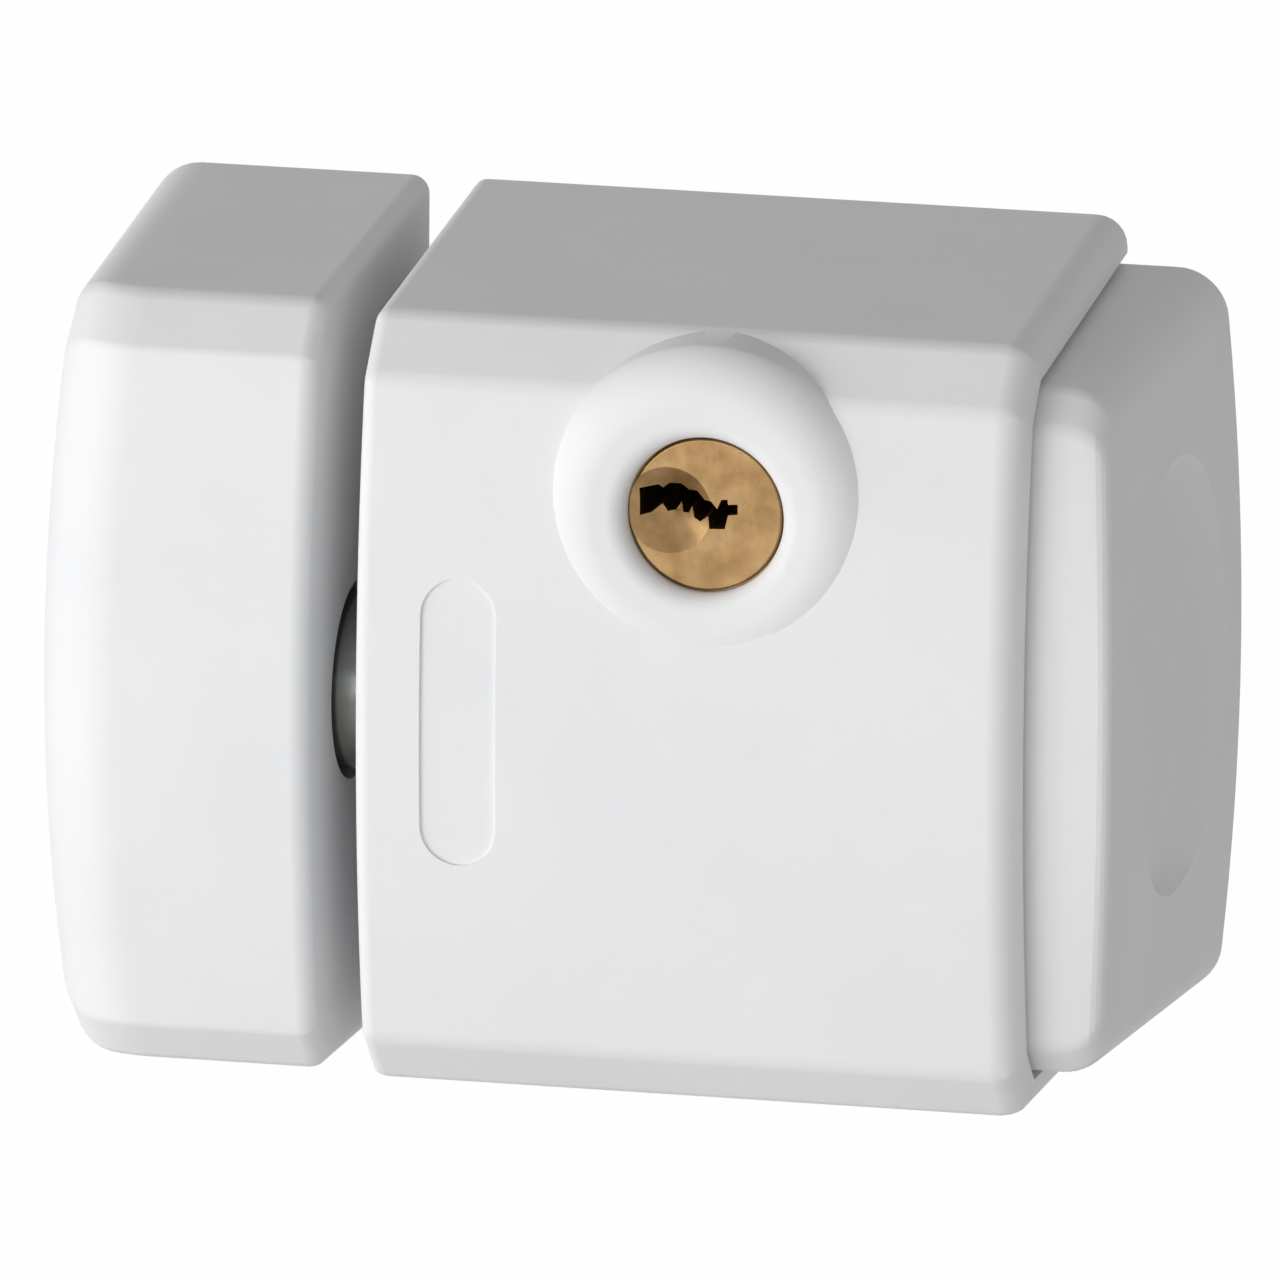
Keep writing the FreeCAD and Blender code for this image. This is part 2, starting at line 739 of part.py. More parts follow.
# Sliding parts: carriage, bolt and their fixings
def make_carriage():
    """Slide on the base that holds the bolt, carries the button and has the catch's notch."""
    carriage = new_body("carriage")
    pad(carriage, outline(sketch_on(carriage, "XZ_Plane", ("0", "0", "carriage_back")), [
        ("carriage_left", "-carriage_half"),
        ("carriage_right", "-carriage_half"),
        ("carriage_right", "carriage_half"),
        ("carriage_left + ramp", "carriage_half"),
        ("carriage_left", "carriage_half - ramp / 2"),
    ]), "carriage_front - carriage_back")
    rib_end = "carriage_right - past"
    flange_left = "carriage_right - flange_thick"
    blocks = [
        ("block_left", "block_right", "bolt_z - block_half", "bolt_z + block_half", "block_front"),
        (flange_left, "carriage_right", "-carriage_half", "carriage_half", "flange_front"),
        ("block_right - past", rib_end, "-carriage_half", "rib_thick - carriage_half", "rib_front"),
        ("block_right - past", rib_end, "carriage_half - rib_thick", "carriage_half", "rib_front"),
    ]
    for left, right, low, high, front in blocks:
        sketch = sketch_on(carriage, "XZ_Plane", ("0", "0", "carriage_back"))
        pad(carriage, rectangle(sketch, left, right, low, high), f"{front} - carriage_back")
    socket = circle(sketch_on(carriage, "YZ_Plane", ("0", "0", "block_left - past")),
                    "bolt_radius", "-bolt_depth", "bolt_z")
    pocket(carriage, socket, "bolt_end - block_left + past", forwards=True)
    pin_way = circle(sketch_on(carriage, "XZ_Plane", ("0", "0", "bolt_pin_back - past")),
                     "bolt_pin_radius", "bolt_pin_x", "bolt_z")
    pocket(carriage, pin_way, "far", forwards=True)
    notch = rectangle(sketch_on(carriage, "XZ_Plane"), "notch_x - notch_half", "notch_x + notch_half",
                      "carriage_half - notch_deep", "carriage_half + past")
    pocket(carriage, notch, "carriage_front + past", forwards=True)
    reach = "(stop_radius + free_gap)"
    slot = outline(sketch_on(carriage, "XZ_Plane"), [
        ("stop_x", f"stop_z - {reach}", f"stop_x + {reach}", "stop_z"),
        ("stop_x", f"stop_z + {reach}"),
        ("stop_x - travel", f"stop_z + {reach}", f"stop_x - travel - {reach}", "stop_z"),
        ("stop_x - travel", f"stop_z - {reach}"),
    ])
    pocket(carriage, slot, "stop_front + free_gap", forwards=True)
    for z in ("button_boss_half", "-button_boss_half"):
        hole = circle(sketch_on(carriage, "YZ_Plane", ("0", "0", "carriage_right + past")),
                      "screw_radius + seat_gap", "-button_boss_depth", z)
        pocket(carriage, hole, "flange_thick + past * 2")


def make_bolt():
    """Round bolt with a chamfered tip and the cross hole of its pin."""
    bolt = new_body("bolt")
    revolve(bolt, outline(sketch_on(bolt, "XZ_Plane", ("0", "bolt_z", "bolt_depth")), [
        ("bolt_tip", "0"),
        ("bolt_tip", "bolt_radius - bolt_chamfer"),
        ("bolt_tip + bolt_chamfer", "bolt_radius"),
        ("bolt_end - bolt_end_chamfer", "bolt_radius"),
        ("bolt_end", "bolt_radius - bolt_end_chamfer"),
        ("bolt_end", "0"),
    ]))
    hole = circle(sketch_on(bolt, "XZ_Plane", ("0", "0", "bolt_depth")),
                  "bolt_pin_radius", "bolt_pin_x", "bolt_z")
    pocket(bolt, hole, "far", both=True)


def make_slide_fixings():
    """Bush of the bolt, cross pin, stop pin, leaf catch and the screws of base and button."""
    bolt_line = ("-bolt_depth", "bolt_z")
    sleeve = rod("x", "bolt_radius + bush_wall", "guide_left", "guide_right", bolt_line)
    flange = rod("x", "bush_flange", "guide_right", "guide_right + bush_flange_thick", bolt_line)
    bore = rod("x", "bolt_radius + running_gap",
               "guide_left - past", "guide_right + bush_flange_thick + past", bolt_line)
    node(cut(join(sleeve, flange), bore), "bolt_bushing")
    pin = rod("y", "bolt_pin_radius", "-bolt_pin_front", "-bolt_pin_back", ("bolt_pin_x", "bolt_z"))
    node(pin, "bolt_pin")
    node(rod("y", "stop_radius", "-stop_front", "-stop_back", ("stop_x", "stop_z")), "stop_pin")
    top = "leaf_low + leaf_thick"
    strip = box(("leaf_left", "leaf_right"), ("-leaf_front", "-leaf_back"), ("leaf_low", top))
    hook = box(("leaf_right - leaf_thick", "leaf_right"), ("-hook_front", "-leaf_back"),
               ("carriage_half - notch_deep + free_gap", top))
    holes = [rod("z", "rivet_radius", "leaf_low - past", f"{top} + past", (x, "rivet_y")) for x in RIVETS]
    node(cut(join(strip, hook), *holes), "catch_leaf")
    rivets = []
    for x in RIVETS:
        shank = rod("z", "rivet_radius", "lug_low", top, (x, "rivet_y"))
        head = rod("z", "rivet_head", top, f"{top} + rivet_rise", (x, "rivet_y"))
        rivets.append(join(shank, head))
    node(group(*rivets), "catch_rivets")
    heights = ("mount_half_z", "-mount_half_z")
    node(group(*[screw("y", "-head_high", ("post_x", z), "long_screw", 1) for z in heights]), "cover_screws")
    seat = "carriage_right - flange_thick"
    centres = [("-button_boss_depth", z) for z in ("button_boss_half", "-button_boss_half")]
    node(group(*[screw("x", seat, centre, "button_screw", -1) for centre in centres]), "button_screws")


# Key cylinder: housing, plug, pins and springs, clip and release cam
def pin_places():
    """Y of each pin chamber, from the front backwards."""
    return [f"-(pin_first - {index} * pin_step)" for index in range(len(PIN_LENGTHS))]


def make_housing():
    """Brass housing with its collar, pin block and screw ear, and the pieces in its chambers."""
    line = ("cyl_x", "cyl_z")
    solid = join(
        rod("y", "barrel_radius", "-barrel_front", "-barrel_back", line),
        rod("y", "collar_radius", "-collar_front", "-barrel_front", line),
        box(("cyl_x", "chamber_end"), ("-chamber_front", "-chamber_back"),
            ("cyl_z - chamber_half", "cyl_z + chamber_half")),
        box(("ear_x - ear_margin", "cyl_x - collar_radius + past"),
            ("-barrel_front", "ear_thick - barrel_front"),
            ("ear_low - ear_margin", "ear_high + ear_margin")),
    )
    bores = [
        rod("y", "plug_radius + running_gap", "-(collar_front + past)", "-(plug_back - running_gap)", line),
        rod("y", "neck_radius + running_gap", "-(plug_back + past)", "-(barrel_back - past)", line),
        box(("chamber_end - strip_thick", "chamber_end + past"), ("-strip_front", "-strip_back"),
            ("cyl_z - strip_half", "cyl_z + strip_half")),
    ]
    for y in pin_places():
        bores.append(rod("x", "pin_radius + running_gap", "cyl_x + past", "chamber_end + past", (y, "cyl_z")))
    ears = ("ear_low", "ear_high")
    for z in ears:
        bores.append(rod("y", "screw_radius + seat_gap", "-(barrel_front + past)",
                         "ear_thick + past - barrel_front", ("ear_x", z)))
    node(cut(solid, *bores), "cylinder_housing")
    shear = "cyl_x + plug_radius + running_gap + shear_gap"
    drivers = [rod("x", "pin_radius", shear, f"{shear} + driver_length", (y, "cyl_z")) for y in pin_places()]
    node(group(*drivers), "driver_pins")
    node(box(("chamber_end - strip_thick + running_gap", "chamber_end - running_gap"),
             ("seat_gap - strip_front", "-seat_gap - strip_back"),
             ("cyl_z - strip_half + seat_gap", "cyl_z + strip_half - seat_gap")), "chamber_strip")
    seat = "ear_thick - barrel_front"
    node(group(*[screw("y", seat, ("ear_x", z), "ear_screw", 1) for z in ears]), "cylinder_screws")


def make_plug():
    """Brass plug with its keyway, the conical sink over it, pin bores, clip groove and square tail."""
    plug = new_body("cylinder_plug")
    groove_front = "-(clip_back + clip_thick + running_gap)"
    groove_back = "-(clip_back - running_gap)"
    revolve(plug, outline(sketch_on(plug, "YZ_Plane", ("0", "cyl_z", "cyl_x")), [
        ("-plug_front", "0"),
        ("-plug_front", "plug_radius - plug_edge"),
        ("-(plug_front - plug_edge)", "plug_radius"),
        ("-plug_back", "plug_radius"),
        ("-plug_back", "neck_radius"),
        (groove_front, "neck_radius"),
        (groove_front, "neck_radius - clip_groove"),
        (groove_back, "neck_radius - clip_groove"),
        (groove_back, "neck_radius"),
        ("-neck_back", "neck_radius"),
        ("-neck_back", "0"),
    ]))
    tail = rectangle(sketch_on(plug, "XZ_Plane", ("0", "0", "tail_back")), "cyl_x - tail_side / 2",
                     "cyl_x + tail_side / 2", "cyl_z - tail_side / 2", "cyl_z + tail_side / 2")
    pad(plug, tail, "neck_back - tail_back")
    thread = circle(sketch_on(plug, "XZ_Plane", ("0", "0", "tail_back")), "screw_radius", "cyl_x", "cyl_z")
    pocket(plug, thread, "cam_screw + past / 2", forwards=True)
    way = outline(sketch_on(plug, "XZ_Plane", ("0", "0", "plug_front")),
                  [(f"cyl_x + {across}", f"cyl_z + {up}") for across, up in KEYWAY])
    pocket(plug, way, "keyway_deep")
    dimple = outline(sketch_on(plug, "YZ_Plane", ("0", "cyl_z + dimple_z", "cyl_x + dimple_x")), [
        ("-plug_front - seat_gap", "0"),
        ("-plug_front - seat_gap", "dimple_radius"),
        ("-(plug_front - dimple_deep)", "dimple_flat"),
        ("-(plug_front - dimple_deep)", "0"),
    ])
    before = volume_of(plug)
    sink = plug.newObject("PartDesign::Groove", "sink")
    sink.Profile = dimple
    sink.ReferenceAxis = (dimple, ["H_Axis"])
    sink.Angle = 360
    assert volume_of(plug) < before - 1, "the sink over the keyway cuts nothing"
    for y in pin_places():
        bore = circle(sketch_on(plug, "YZ_Plane", ("0", "0", "cyl_x")),
                      "pin_radius + running_gap", y, "cyl_z")
        pocket(plug, bore, "plug_radius + past", forwards=True)
    tops = "cyl_x + plug_radius - pin_low"
    pins = [rod("x", "pin_radius", f"{tops} - {length}", tops, (y, "cyl_z"))
            for y, length in zip(pin_places(), PIN_LENGTHS)]
    node(group(*pins), "key_pins")


def make_plug_fixings():
    """Clip behind the housing, release cam on the square tail and its screw."""
    line = ("cyl_x", "cyl_z")
    clip_front = "clip_back + clip_thick"
    mouth = box(("cyl_x", "cyl_x + clip_radius + past"), (f"-({clip_front}) - past", "past - clip_back"),
                ("cyl_z - clip_mouth", "cyl_z + clip_mouth"))
    inner = "neck_radius - clip_groove + running_gap"
    band = ring("y", inner, "clip_radius", f"-({clip_front})", "-clip_back", line)
    node(cut(band, mouth), "plug_clip")
    cam = new_body("release_cam")
    tip = "cyl_x - cam_reach"
    pad(cam, outline(sketch_on(cam, "XZ_Plane", ("0", "0", "tail_back + seat_gap")), [
        ("cyl_x", "cyl_z + cam_round"),
        ("cyl_x - cam_nose", "cyl_z + cam_width / 2 + cam_flare"),
        (f"{tip} + cam_nose", "cyl_z + cam_width / 2", tip, "cyl_z"),
        (f"{tip} + cam_nose", "cyl_z - cam_width / 2"),
        ("cyl_x - cam_nose", "cyl_z - cam_width / 2 - cam_flare"),
        ("cyl_x", "cyl_z - cam_round", "cyl_x + cam_round", "cyl_z"),
    ]), "neck_back - tail_back - seat_gap * 2")
    side = "(tail_side / 2 + running_gap)"
    hole = rectangle(sketch_on(cam, "XZ_Plane"), f"cyl_x - {side}", f"cyl_x + {side}", f"cyl_z - {side}",
                     f"cyl_z + {side}")
    pocket(cam, hole, "far", forwards=True)
    node(screw("y", "-tail_back", line, "cam_screw", 1, head="cam_screw_head"), "cam_screw")


# Coil springs: one unbroken tube along a helix, laid out as pairs of arcs
def arc_middle(start, heading, end):
    """Middle of the arc that leaves a point along a heading and reaches another point."""
    chord = end - start
    reach = chord.Length ** 2 / (2 * heading.dot(chord))
    corner = start + heading * reach
    half = start + chord * 0.5
    out = corner - half
    rise = chord.Length / 2
    radius = rise * reach / out.Length
    centre = half - out * (math.sqrt(radius ** 2 - rise ** 2) / out.Length)
    return centre + out * (radius / out.Length)


def coil(radius, wire, start, length, turns, centre_y, centre_z):
    """Coil spring along X as a solid tube, and the least gap between its turns."""
    pitch = length / turns

    def spot(turn):
        angle = 2 * math.pi * turn
        return V(start + pitch * turn,
                 centre_y + radius * math.cos(angle), centre_z + radius * math.sin(angle))

    def heading(turn):
        angle = 2 * math.pi * turn
        way = V(pitch / (2 * math.pi), -radius * math.sin(angle), radius * math.cos(angle))
        return way.normalize()

    edges = []
    for step in range(round(turns * 4)):
        low, high = step / 4, (step + 1) / 4
        p_low, p_high, t_low, t_high = spot(low), spot(high), heading(low), heading(high)
        chord = p_high - p_low
        both = t_low + t_high
        spread = 2 * (1 - t_low.dot(t_high))
        reach = (-chord.dot(both) + math.sqrt(chord.dot(both) ** 2 + spread * chord.dot(chord))) / spread
        joint = (p_low + t_low * reach + p_high - t_high * reach) * 0.5
        edges.append(Part.Arc(p_low, arc_middle(p_low, t_low, joint), joint).toShape())
        edges.append(Part.Arc(joint, arc_middle(p_high, t_high * -1, joint), p_high).toShape())
    pipe = Part.BRepOffsetAPI.MakePipeShell(Part.Wire(edges))
    pipe.add(Part.Wire(Part.Circle(spot(0), heading(0), wire / 2).toShape()), False, False)
    pipe.build()
    pipe.makeSolid()
    samples = [spot(index / SAMPLES) for index in range(round(turns * SAMPLES) + 1)]
    apart = SAMPLES * 5 // 8
    gap = min((a - b).Length for i, a in enumerate(samples) for b in samples[i + apart:]) - wire
    return pipe.shape(), gap


def shaped(label, shape):
    """Piece whose shape comes from this file's own functions."""
    piece = doc.addObject("Part::Feature", label)
    piece.Shape = shape
    return node(piece, label)


def make_springs():
    """Return spring round the bolt and the five springs behind the driver pins."""
    wire = value("spring_wire")
    start = value("guide_right + bush_flange_thick + spring_wire / 2 + spring_gap")
    length = value("block_left - spring_wire / 2 - spring_gap") - start
    shape, gap = coil(value("spring_radius"), wire, start, length, value("spring_turns"),
                      -value("bolt_depth"), value("bolt_z"))
    print("return spring, least gap between turns", round(gap, 2))
    shaped("return_spring", shape)
    wire = value("pin_spring_wire")
    driver_end = "cyl_x + plug_radius + running_gap + shear_gap + driver_length"
    start = value(f"{driver_end} + pin_spring_wire / 2 + spring_gap")
    length = value("pin_spring_end - pin_spring_wire / 2") - start
    shapes = []
    for y in pin_places():
        shape, gap = coil(value("pin_spring_radius"), wire, start, length, value("pin_spring_turns"),
                          value(y), value("cyl_z"))
        shapes.append(shape)
    print("pin springs, least gap between turns", round(gap, 2))
    shaped("pin_springs", Part.makeCompound(shapes))


# Strike: cover, block, hardened ring and screws
def make_strike_cover():
    """Box on the window's frame, with the hole that takes the bolt."""
    cover = new_body("strike_cover")
    profile = outline(sketch_on(cover, "YZ_Plane", ("0", "0", "-strike_far - past")), side_view("strike"))
    pad(cover, profile, "strike_far + past - strike_near")
    lean = outline(sketch_on(cover, "XY_Plane"), [
        ("-strike_near", "0"),
        ("-strike_near + past", "0"),
        ("-strike_near + past", "-strike_crown - past"),
        ("-strike_near - strike_near_lean", "-strike_crown - past"),
    ])
    pocket(cover, lean, "far * 2", both=True)
    end = outline(sketch_on(cover, "XZ_Plane", turn=(V(0, 1, 0), value("strike_lean_angle"))), [
        ("strike_bulge - strike_far", "-strike_half - past", "-strike_far", "0"),
        ("strike_bulge - strike_far", "strike_half + past"),
        ("-strike_far - far", "strike_half + past"),
        ("-strike_far - far", "-strike_half - past"),
    ])
    pocket(cover, end, "far * 2", both=True)
    fillet(cover, "strike_round", lambda edge: edge.CenterOfMass.x < value("strike_round - strike_far")
           and not near(edge.CenterOfMass.y, "0", 0.5))
    face = "strike_near + strike_near_lean"
    cavity = outline(sketch_on(cover, "YZ_Plane", ("0", "0", f"-({face} + strike_wall)")),
                     side_view("strike", "strike_wall"))
    pocket(cover, cavity, f"strike_far - ({face}) - strike_wall - strike_left_wall")
    hole = circle(sketch_on(cover, "YZ_Plane", ("0", "0", "past - strike_near")),
                  "bolt_hole", "-bolt_depth", "bolt_z")
    pocket(cover, hole, "strike_near_lean + strike_wall + past * 3")
    for z in ("strike_post_z", "-strike_post_z"):
        post = circle(sketch_on(cover, "XZ_Plane", ("0", "0", "strike_plate + free_gap")),
                      "post_radius", "strike_post_x", z)
        pad(cover, post, "strike_post_end - strike_plate - free_gap")
        pilot = circle(sketch_on(cover, "XZ_Plane"), "pilot_radius", "strike_post_x", z)
        pocket(cover, pilot, "pilot_front", forwards=True)


def make_strike_block():
    """Block screwed to the window's frame, its hardened ring and the cover's screws."""
    block = new_body("strike_block")
    pad(block, rectangle(sketch_on(block, "XZ_Plane"), "strike_block_left", "strike_block_right",
                         "-strike_block_half", "strike_block_half"), "strike_plate")
    wall_left = "strike_block_right - strike_wall_thick"
    pad(block, rectangle(sketch_on(block, "XZ_Plane"), wall_left, "strike_block_right",
                         "bolt_z - guide_half", "bolt_z + guide_half"), "guide_front")
    for z in ("bolt_z - guide_half", "bolt_z + guide_half - gusset_thick"):
        gusset = outline(sketch_on(block, "XY_Plane", ("0", "0", z)), [
            ("strike_block_right - past", "-past"),
            ("strike_block_right - past", "-gusset_front"),
            (wall_left, "-gusset_front"),
            ("gusset_left", "-strike_plate"),
            ("gusset_left", "-past"),
        ])
        pad(block, gusset, "gusset_thick")
    liner_radius = "bolt_hole + liner_wall"
    bore = circle(sketch_on(block, "YZ_Plane", ("0", "0", "strike_block_right + past")),
                  liner_radius, "-bolt_depth", "bolt_z")
    pocket(block, bore, "strike_wall_thick + past * 2")
    posts = ("strike_post_z", "-strike_post_z")
    for z in posts:
        cover_hole(block, "strike_post_x", z, "strike_plate")
    for z in ("strike_mount_z", "-strike_mount_z"):
        mounting_hole(block, "strike_mount_x", z, "strike_plate")
    liner = ring("x", "bolt_hole", liner_radius, wall_left, "strike_block_right", ("-bolt_depth", "bolt_z"))
    node(liner, "strike_liner")
    screws = [screw("y", "-head_high", ("strike_post_x", z), "long_screw", 1) for z in posts]
    node(group(*screws), "strike_screws")


make_lock_cover()
make_push_button()
make_base_casting()
make_carriage()
make_bolt()
make_slide_fixings()
make_housing()
make_plug()
make_plug_fixings()
make_springs()
make_strike_cover()
make_strike_block()
doc.recompute()
for item in doc.Objects:
    sound = "Invalid" not in item.State and "Error" not in item.State
    assert sound, f"{item.Label}: {item.getStatusString()}"
for piece in nodes:
    assert not piece.Shape.isNull() and piece.Shape.isValid(), f"{piece.Label} has no valid shape"
os.makedirs("parts", exist_ok=True)
for piece in nodes:
    piece.Shape.exportStep(f"parts/{piece.Label}.step")
    bound = piece.Shape.BoundBox
    print(piece.Label, len(piece.Shape.Solids), "solids,", round(piece.Shape.Volume), "mm3,",
          [round(v, 1) for v in (bound.XMin, bound.XMax, bound.YMin, bound.YMax, bound.ZMin, bound.ZMax)])
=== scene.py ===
"""Surface-mounted window lock with a push button and a key cylinder, dressed for the studio.

Sizes are in millimetres and become metres where a mesh is made. "Depth" counts forwards from the
mounting face, so a depth of 10 lies at Y = -10.
"""
import json
import logging
import math
from contextlib import contextmanager
from dataclasses import dataclass
from enum import Enum
from typing import Callable, Iterator, Sequence

import bmesh
import bpy
from mathutils import Matrix, Vector


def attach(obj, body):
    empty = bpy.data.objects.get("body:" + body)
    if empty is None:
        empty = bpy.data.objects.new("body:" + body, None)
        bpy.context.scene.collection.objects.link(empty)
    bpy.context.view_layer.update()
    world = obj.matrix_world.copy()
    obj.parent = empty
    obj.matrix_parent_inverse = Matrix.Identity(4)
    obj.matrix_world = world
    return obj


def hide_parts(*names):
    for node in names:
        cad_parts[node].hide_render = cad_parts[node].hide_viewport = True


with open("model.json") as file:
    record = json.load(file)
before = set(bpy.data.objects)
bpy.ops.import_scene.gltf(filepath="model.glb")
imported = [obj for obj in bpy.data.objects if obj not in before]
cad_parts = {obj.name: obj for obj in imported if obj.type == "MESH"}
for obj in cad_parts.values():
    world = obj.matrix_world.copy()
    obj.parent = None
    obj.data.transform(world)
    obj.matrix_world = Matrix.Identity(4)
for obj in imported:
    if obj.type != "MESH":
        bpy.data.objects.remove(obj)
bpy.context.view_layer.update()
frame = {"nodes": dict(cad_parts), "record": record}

MM = 0.001
# Distances under which a cut and a merge take two points for one
TOUCH = MM / 1000
WELD = 2 * TOUCH
# Strips that divide a bowed end: their height, and a shift that keeps the cuts off the end's own edges
BOW_STRIP = 2.6
BOW_SHIFT = 0.37
PILOT_RADIUS = 1.25
Point = tuple[float, float, float]
Flat = tuple[float, float]
RadiusOf = Callable[[Vector, Vector, float], float]
Posts = Sequence[tuple[Flat, float, Flat, float]]
Piece = bpy.types.Object
Material = bpy.types.Material
Socket = bpy.types.NodeSocket
log = logging.getLogger("window_lock")


class Join(Enum):
    """How one solid works on another."""

    ADD = "UNION"
    CUT = "DIFFERENCE"


class Pick(Enum):
    """What edit mode selects."""

    VERTS = (True, False, False)
    EDGES = (False, True, False)
    FACES = (False, False, True)


# Bench tools: the hand work that every piece goes through
def select_only(piece: Piece) -> None:
    """Selects one piece and makes it the active one.

    Args:
        piece: The piece to work on.
    """
    bpy.ops.object.select_all(action="DESELECT")
    piece.select_set(True)
    bpy.context.view_layer.objects.active = piece


@contextmanager
def editing(piece: Piece, pick: Pick = Pick.VERTS) -> Iterator[None]:
    """Holds a piece in edit mode, all of it selected, for a stretch of hand work.

    Args:
        piece: The piece to edit.
        pick: What is selected while it is edited.
    """
    select_only(piece)
    bpy.context.tool_settings.mesh_select_mode = pick.value
    bpy.ops.object.mode_set(mode="EDIT")
    bpy.ops.mesh.select_all(action="SELECT")
    yield
    bpy.ops.object.mode_set(mode="OBJECT")


def named(name: str) -> Piece:
    """Names the piece that was just added and lays its place into its mesh.

    Args:
        name: The piece's name.

    Returns:
        The piece.
    """
    piece = bpy.context.object
    piece.name = piece.data.name = name
    bpy.ops.object.transform_apply(location=True, rotation=True, scale=True)
    return piece


def block(name: str, low: Point, high: Point) -> Piece:
    """Cuts a block to size.

    Args:
        name: The piece's name.
        low: Its lowest corner.
        high: Its highest corner.

    Returns:
        The block.
    """
    bpy.ops.object.select_all(action="DESELECT")
    size = (Vector(high) - Vector(low)) * MM
    bpy.ops.mesh.primitive_cube_add(size=1, location=(Vector(high) + Vector(low)) * MM / 2, scale=size)
    return named(name)


def rod(name: str, radius: float, low: Point, high: Point, steps: int = 48) -> Piece:
    """Cuts a round rod between two points.

    Args:
        name: The piece's name.
        radius: Its radius.
        low: The centre of one end.
        high: The centre of the other end.
        steps: Sides of the circle.

    Returns:
        The rod.
    """
    bpy.ops.object.select_all(action="DESELECT")
    span = Vector(high) - Vector(low)
    turn = Vector((0, 0, 1)).rotation_difference(span).to_euler()
    bpy.ops.mesh.primitive_cylinder_add(vertices=steps, radius=radius * MM, depth=span.length * MM,
                                        location=(Vector(high) + Vector(low)) * MM / 2, rotation=turn)
    return named(name)


def cross_rod(name: str, radius: float, ends: Flat, depth: float, z: float, steps: int = 48) -> Piece:
    """Cuts a round rod that lies along X, from one of the ends to the other."""
    return rod(name, radius, (ends[0], -depth, z), (ends[1], -depth, z), steps)


def drawn_line(name: str, points: Sequence[Point]) -> Piece:
    """Draws a line of points, each pulled out of the last.

    Args:
        name: The piece's name.
        points: The line's points.

    Returns:
        A piece of edges only.
    """
    bpy.ops.object.select_all(action="DESELECT")
    bpy.ops.mesh.primitive_plane_add(size=MM, location=Vector(points[0]) * MM)
    line = named(name)
    with editing(line):
        bpy.ops.mesh.merge(type="CENTER")
        for last, following in zip(points, points[1:]):
            step = (Vector(following) - Vector(last)) * MM
            bpy.ops.mesh.extrude_vertices_move(TRANSFORM_OT_translate={"value": step})
    return line


def bend(start: Flat, middle: Flat, end: Flat, count: int) -> list[Flat]:
    """Points on the circle through three points.

    Args:
        start: The first point.
        middle: A point between.
        end: The last point.
        count: How many steps the bend has.

    Returns:
        The points from start to end.
    """
    (ax, ay), (bx, by), (cx, cy) = start, middle, end
    twice = 2 * (ax * (by - cy) + bx * (cy - ay) + cx * (ay - by))
    squares = [x * x + y * y for x, y in (start, middle, end)]
    x = (squares[0] * (by - cy) + squares[1] * (cy - ay) + squares[2] * (ay - by)) / twice
    y = (squares[0] * (cx - bx) + squares[1] * (ax - cx) + squares[2] * (bx - ax)) / twice
    radius = math.hypot(ax - x, ay - y)
    first, between, last = (math.atan2(v - y, u - x) for u, v in (start, middle, end))
    sweep = (last - first) % math.tau
    if (between - first) % math.tau > sweep:
        sweep -= math.tau
    angles = [first + sweep * step / count for step in range(count + 1)]
    return [(x + radius * math.cos(angle), y + radius * math.sin(angle)) for angle in angles]


def turned(name: str, profile: Sequence[Point], centre: Point, axis: Point, steps: int) -> Piece:
    """Turns a profile about an axis, as on a lathe.

    Args:
        name: The piece's name.
        profile: Points from the axis out and back to it.
        centre: A point on the axis.
        axis: The axis.
        steps: Sides of the circle.

    Returns:
        The turned solid.
    """
    piece = drawn_line(name, profile)
    with editing(piece):
        bpy.ops.mesh.spin(steps=steps, angle=math.tau, center=Vector(centre) * MM, axis=axis)
        bpy.ops.mesh.select_all(action="SELECT")
        bpy.ops.mesh.remove_doubles(threshold=WELD)
        bpy.ops.mesh.normals_make_consistent(inside=False)
    return piece


def sawn(name: str, outline: Sequence[Point], way: Point) -> Piece:
    """Saws a solid out of an outline.

    Args:
        name: The piece's name.
        outline: The outline's corners, in one plane.
        way: How far and which way the outline is pulled.

    Returns:
        The solid.
    """
    piece = drawn_line(name, outline)
    with editing(piece):
        bpy.ops.mesh.edge_face_add()
        bpy.ops.mesh.extrude_region_move(TRANSFORM_OT_translate={"value": Vector(way) * MM})
        bpy.ops.mesh.select_all(action="SELECT")
        bpy.ops.mesh.normals_make_consistent(inside=False)
    return piece


def plane_off(piece: Piece, cuts: Sequence[tuple[Point, Point]]) -> None:
    """Planes flats on a solid.

    Args:
        piece: The solid.
        cuts: A point on each flat and the way that the flat faces.
    """
    with editing(piece, Pick.FACES):
        for spot, facing in cuts:
            bpy.ops.mesh.select_all(action="SELECT")
            bpy.ops.mesh.bisect(plane_co=Vector(spot) * MM, plane_no=facing, use_fill=True, clear_outer=True,
                                threshold=TOUCH)


def weld(piece: Piece) -> None:
    """Merges points that touch and drops faces without area.

    Args:
        piece: The piece to clean up.
    """
    with editing(piece):
        bpy.ops.mesh.remove_doubles(threshold=WELD)
        bpy.ops.mesh.dissolve_degenerate(threshold=WELD)


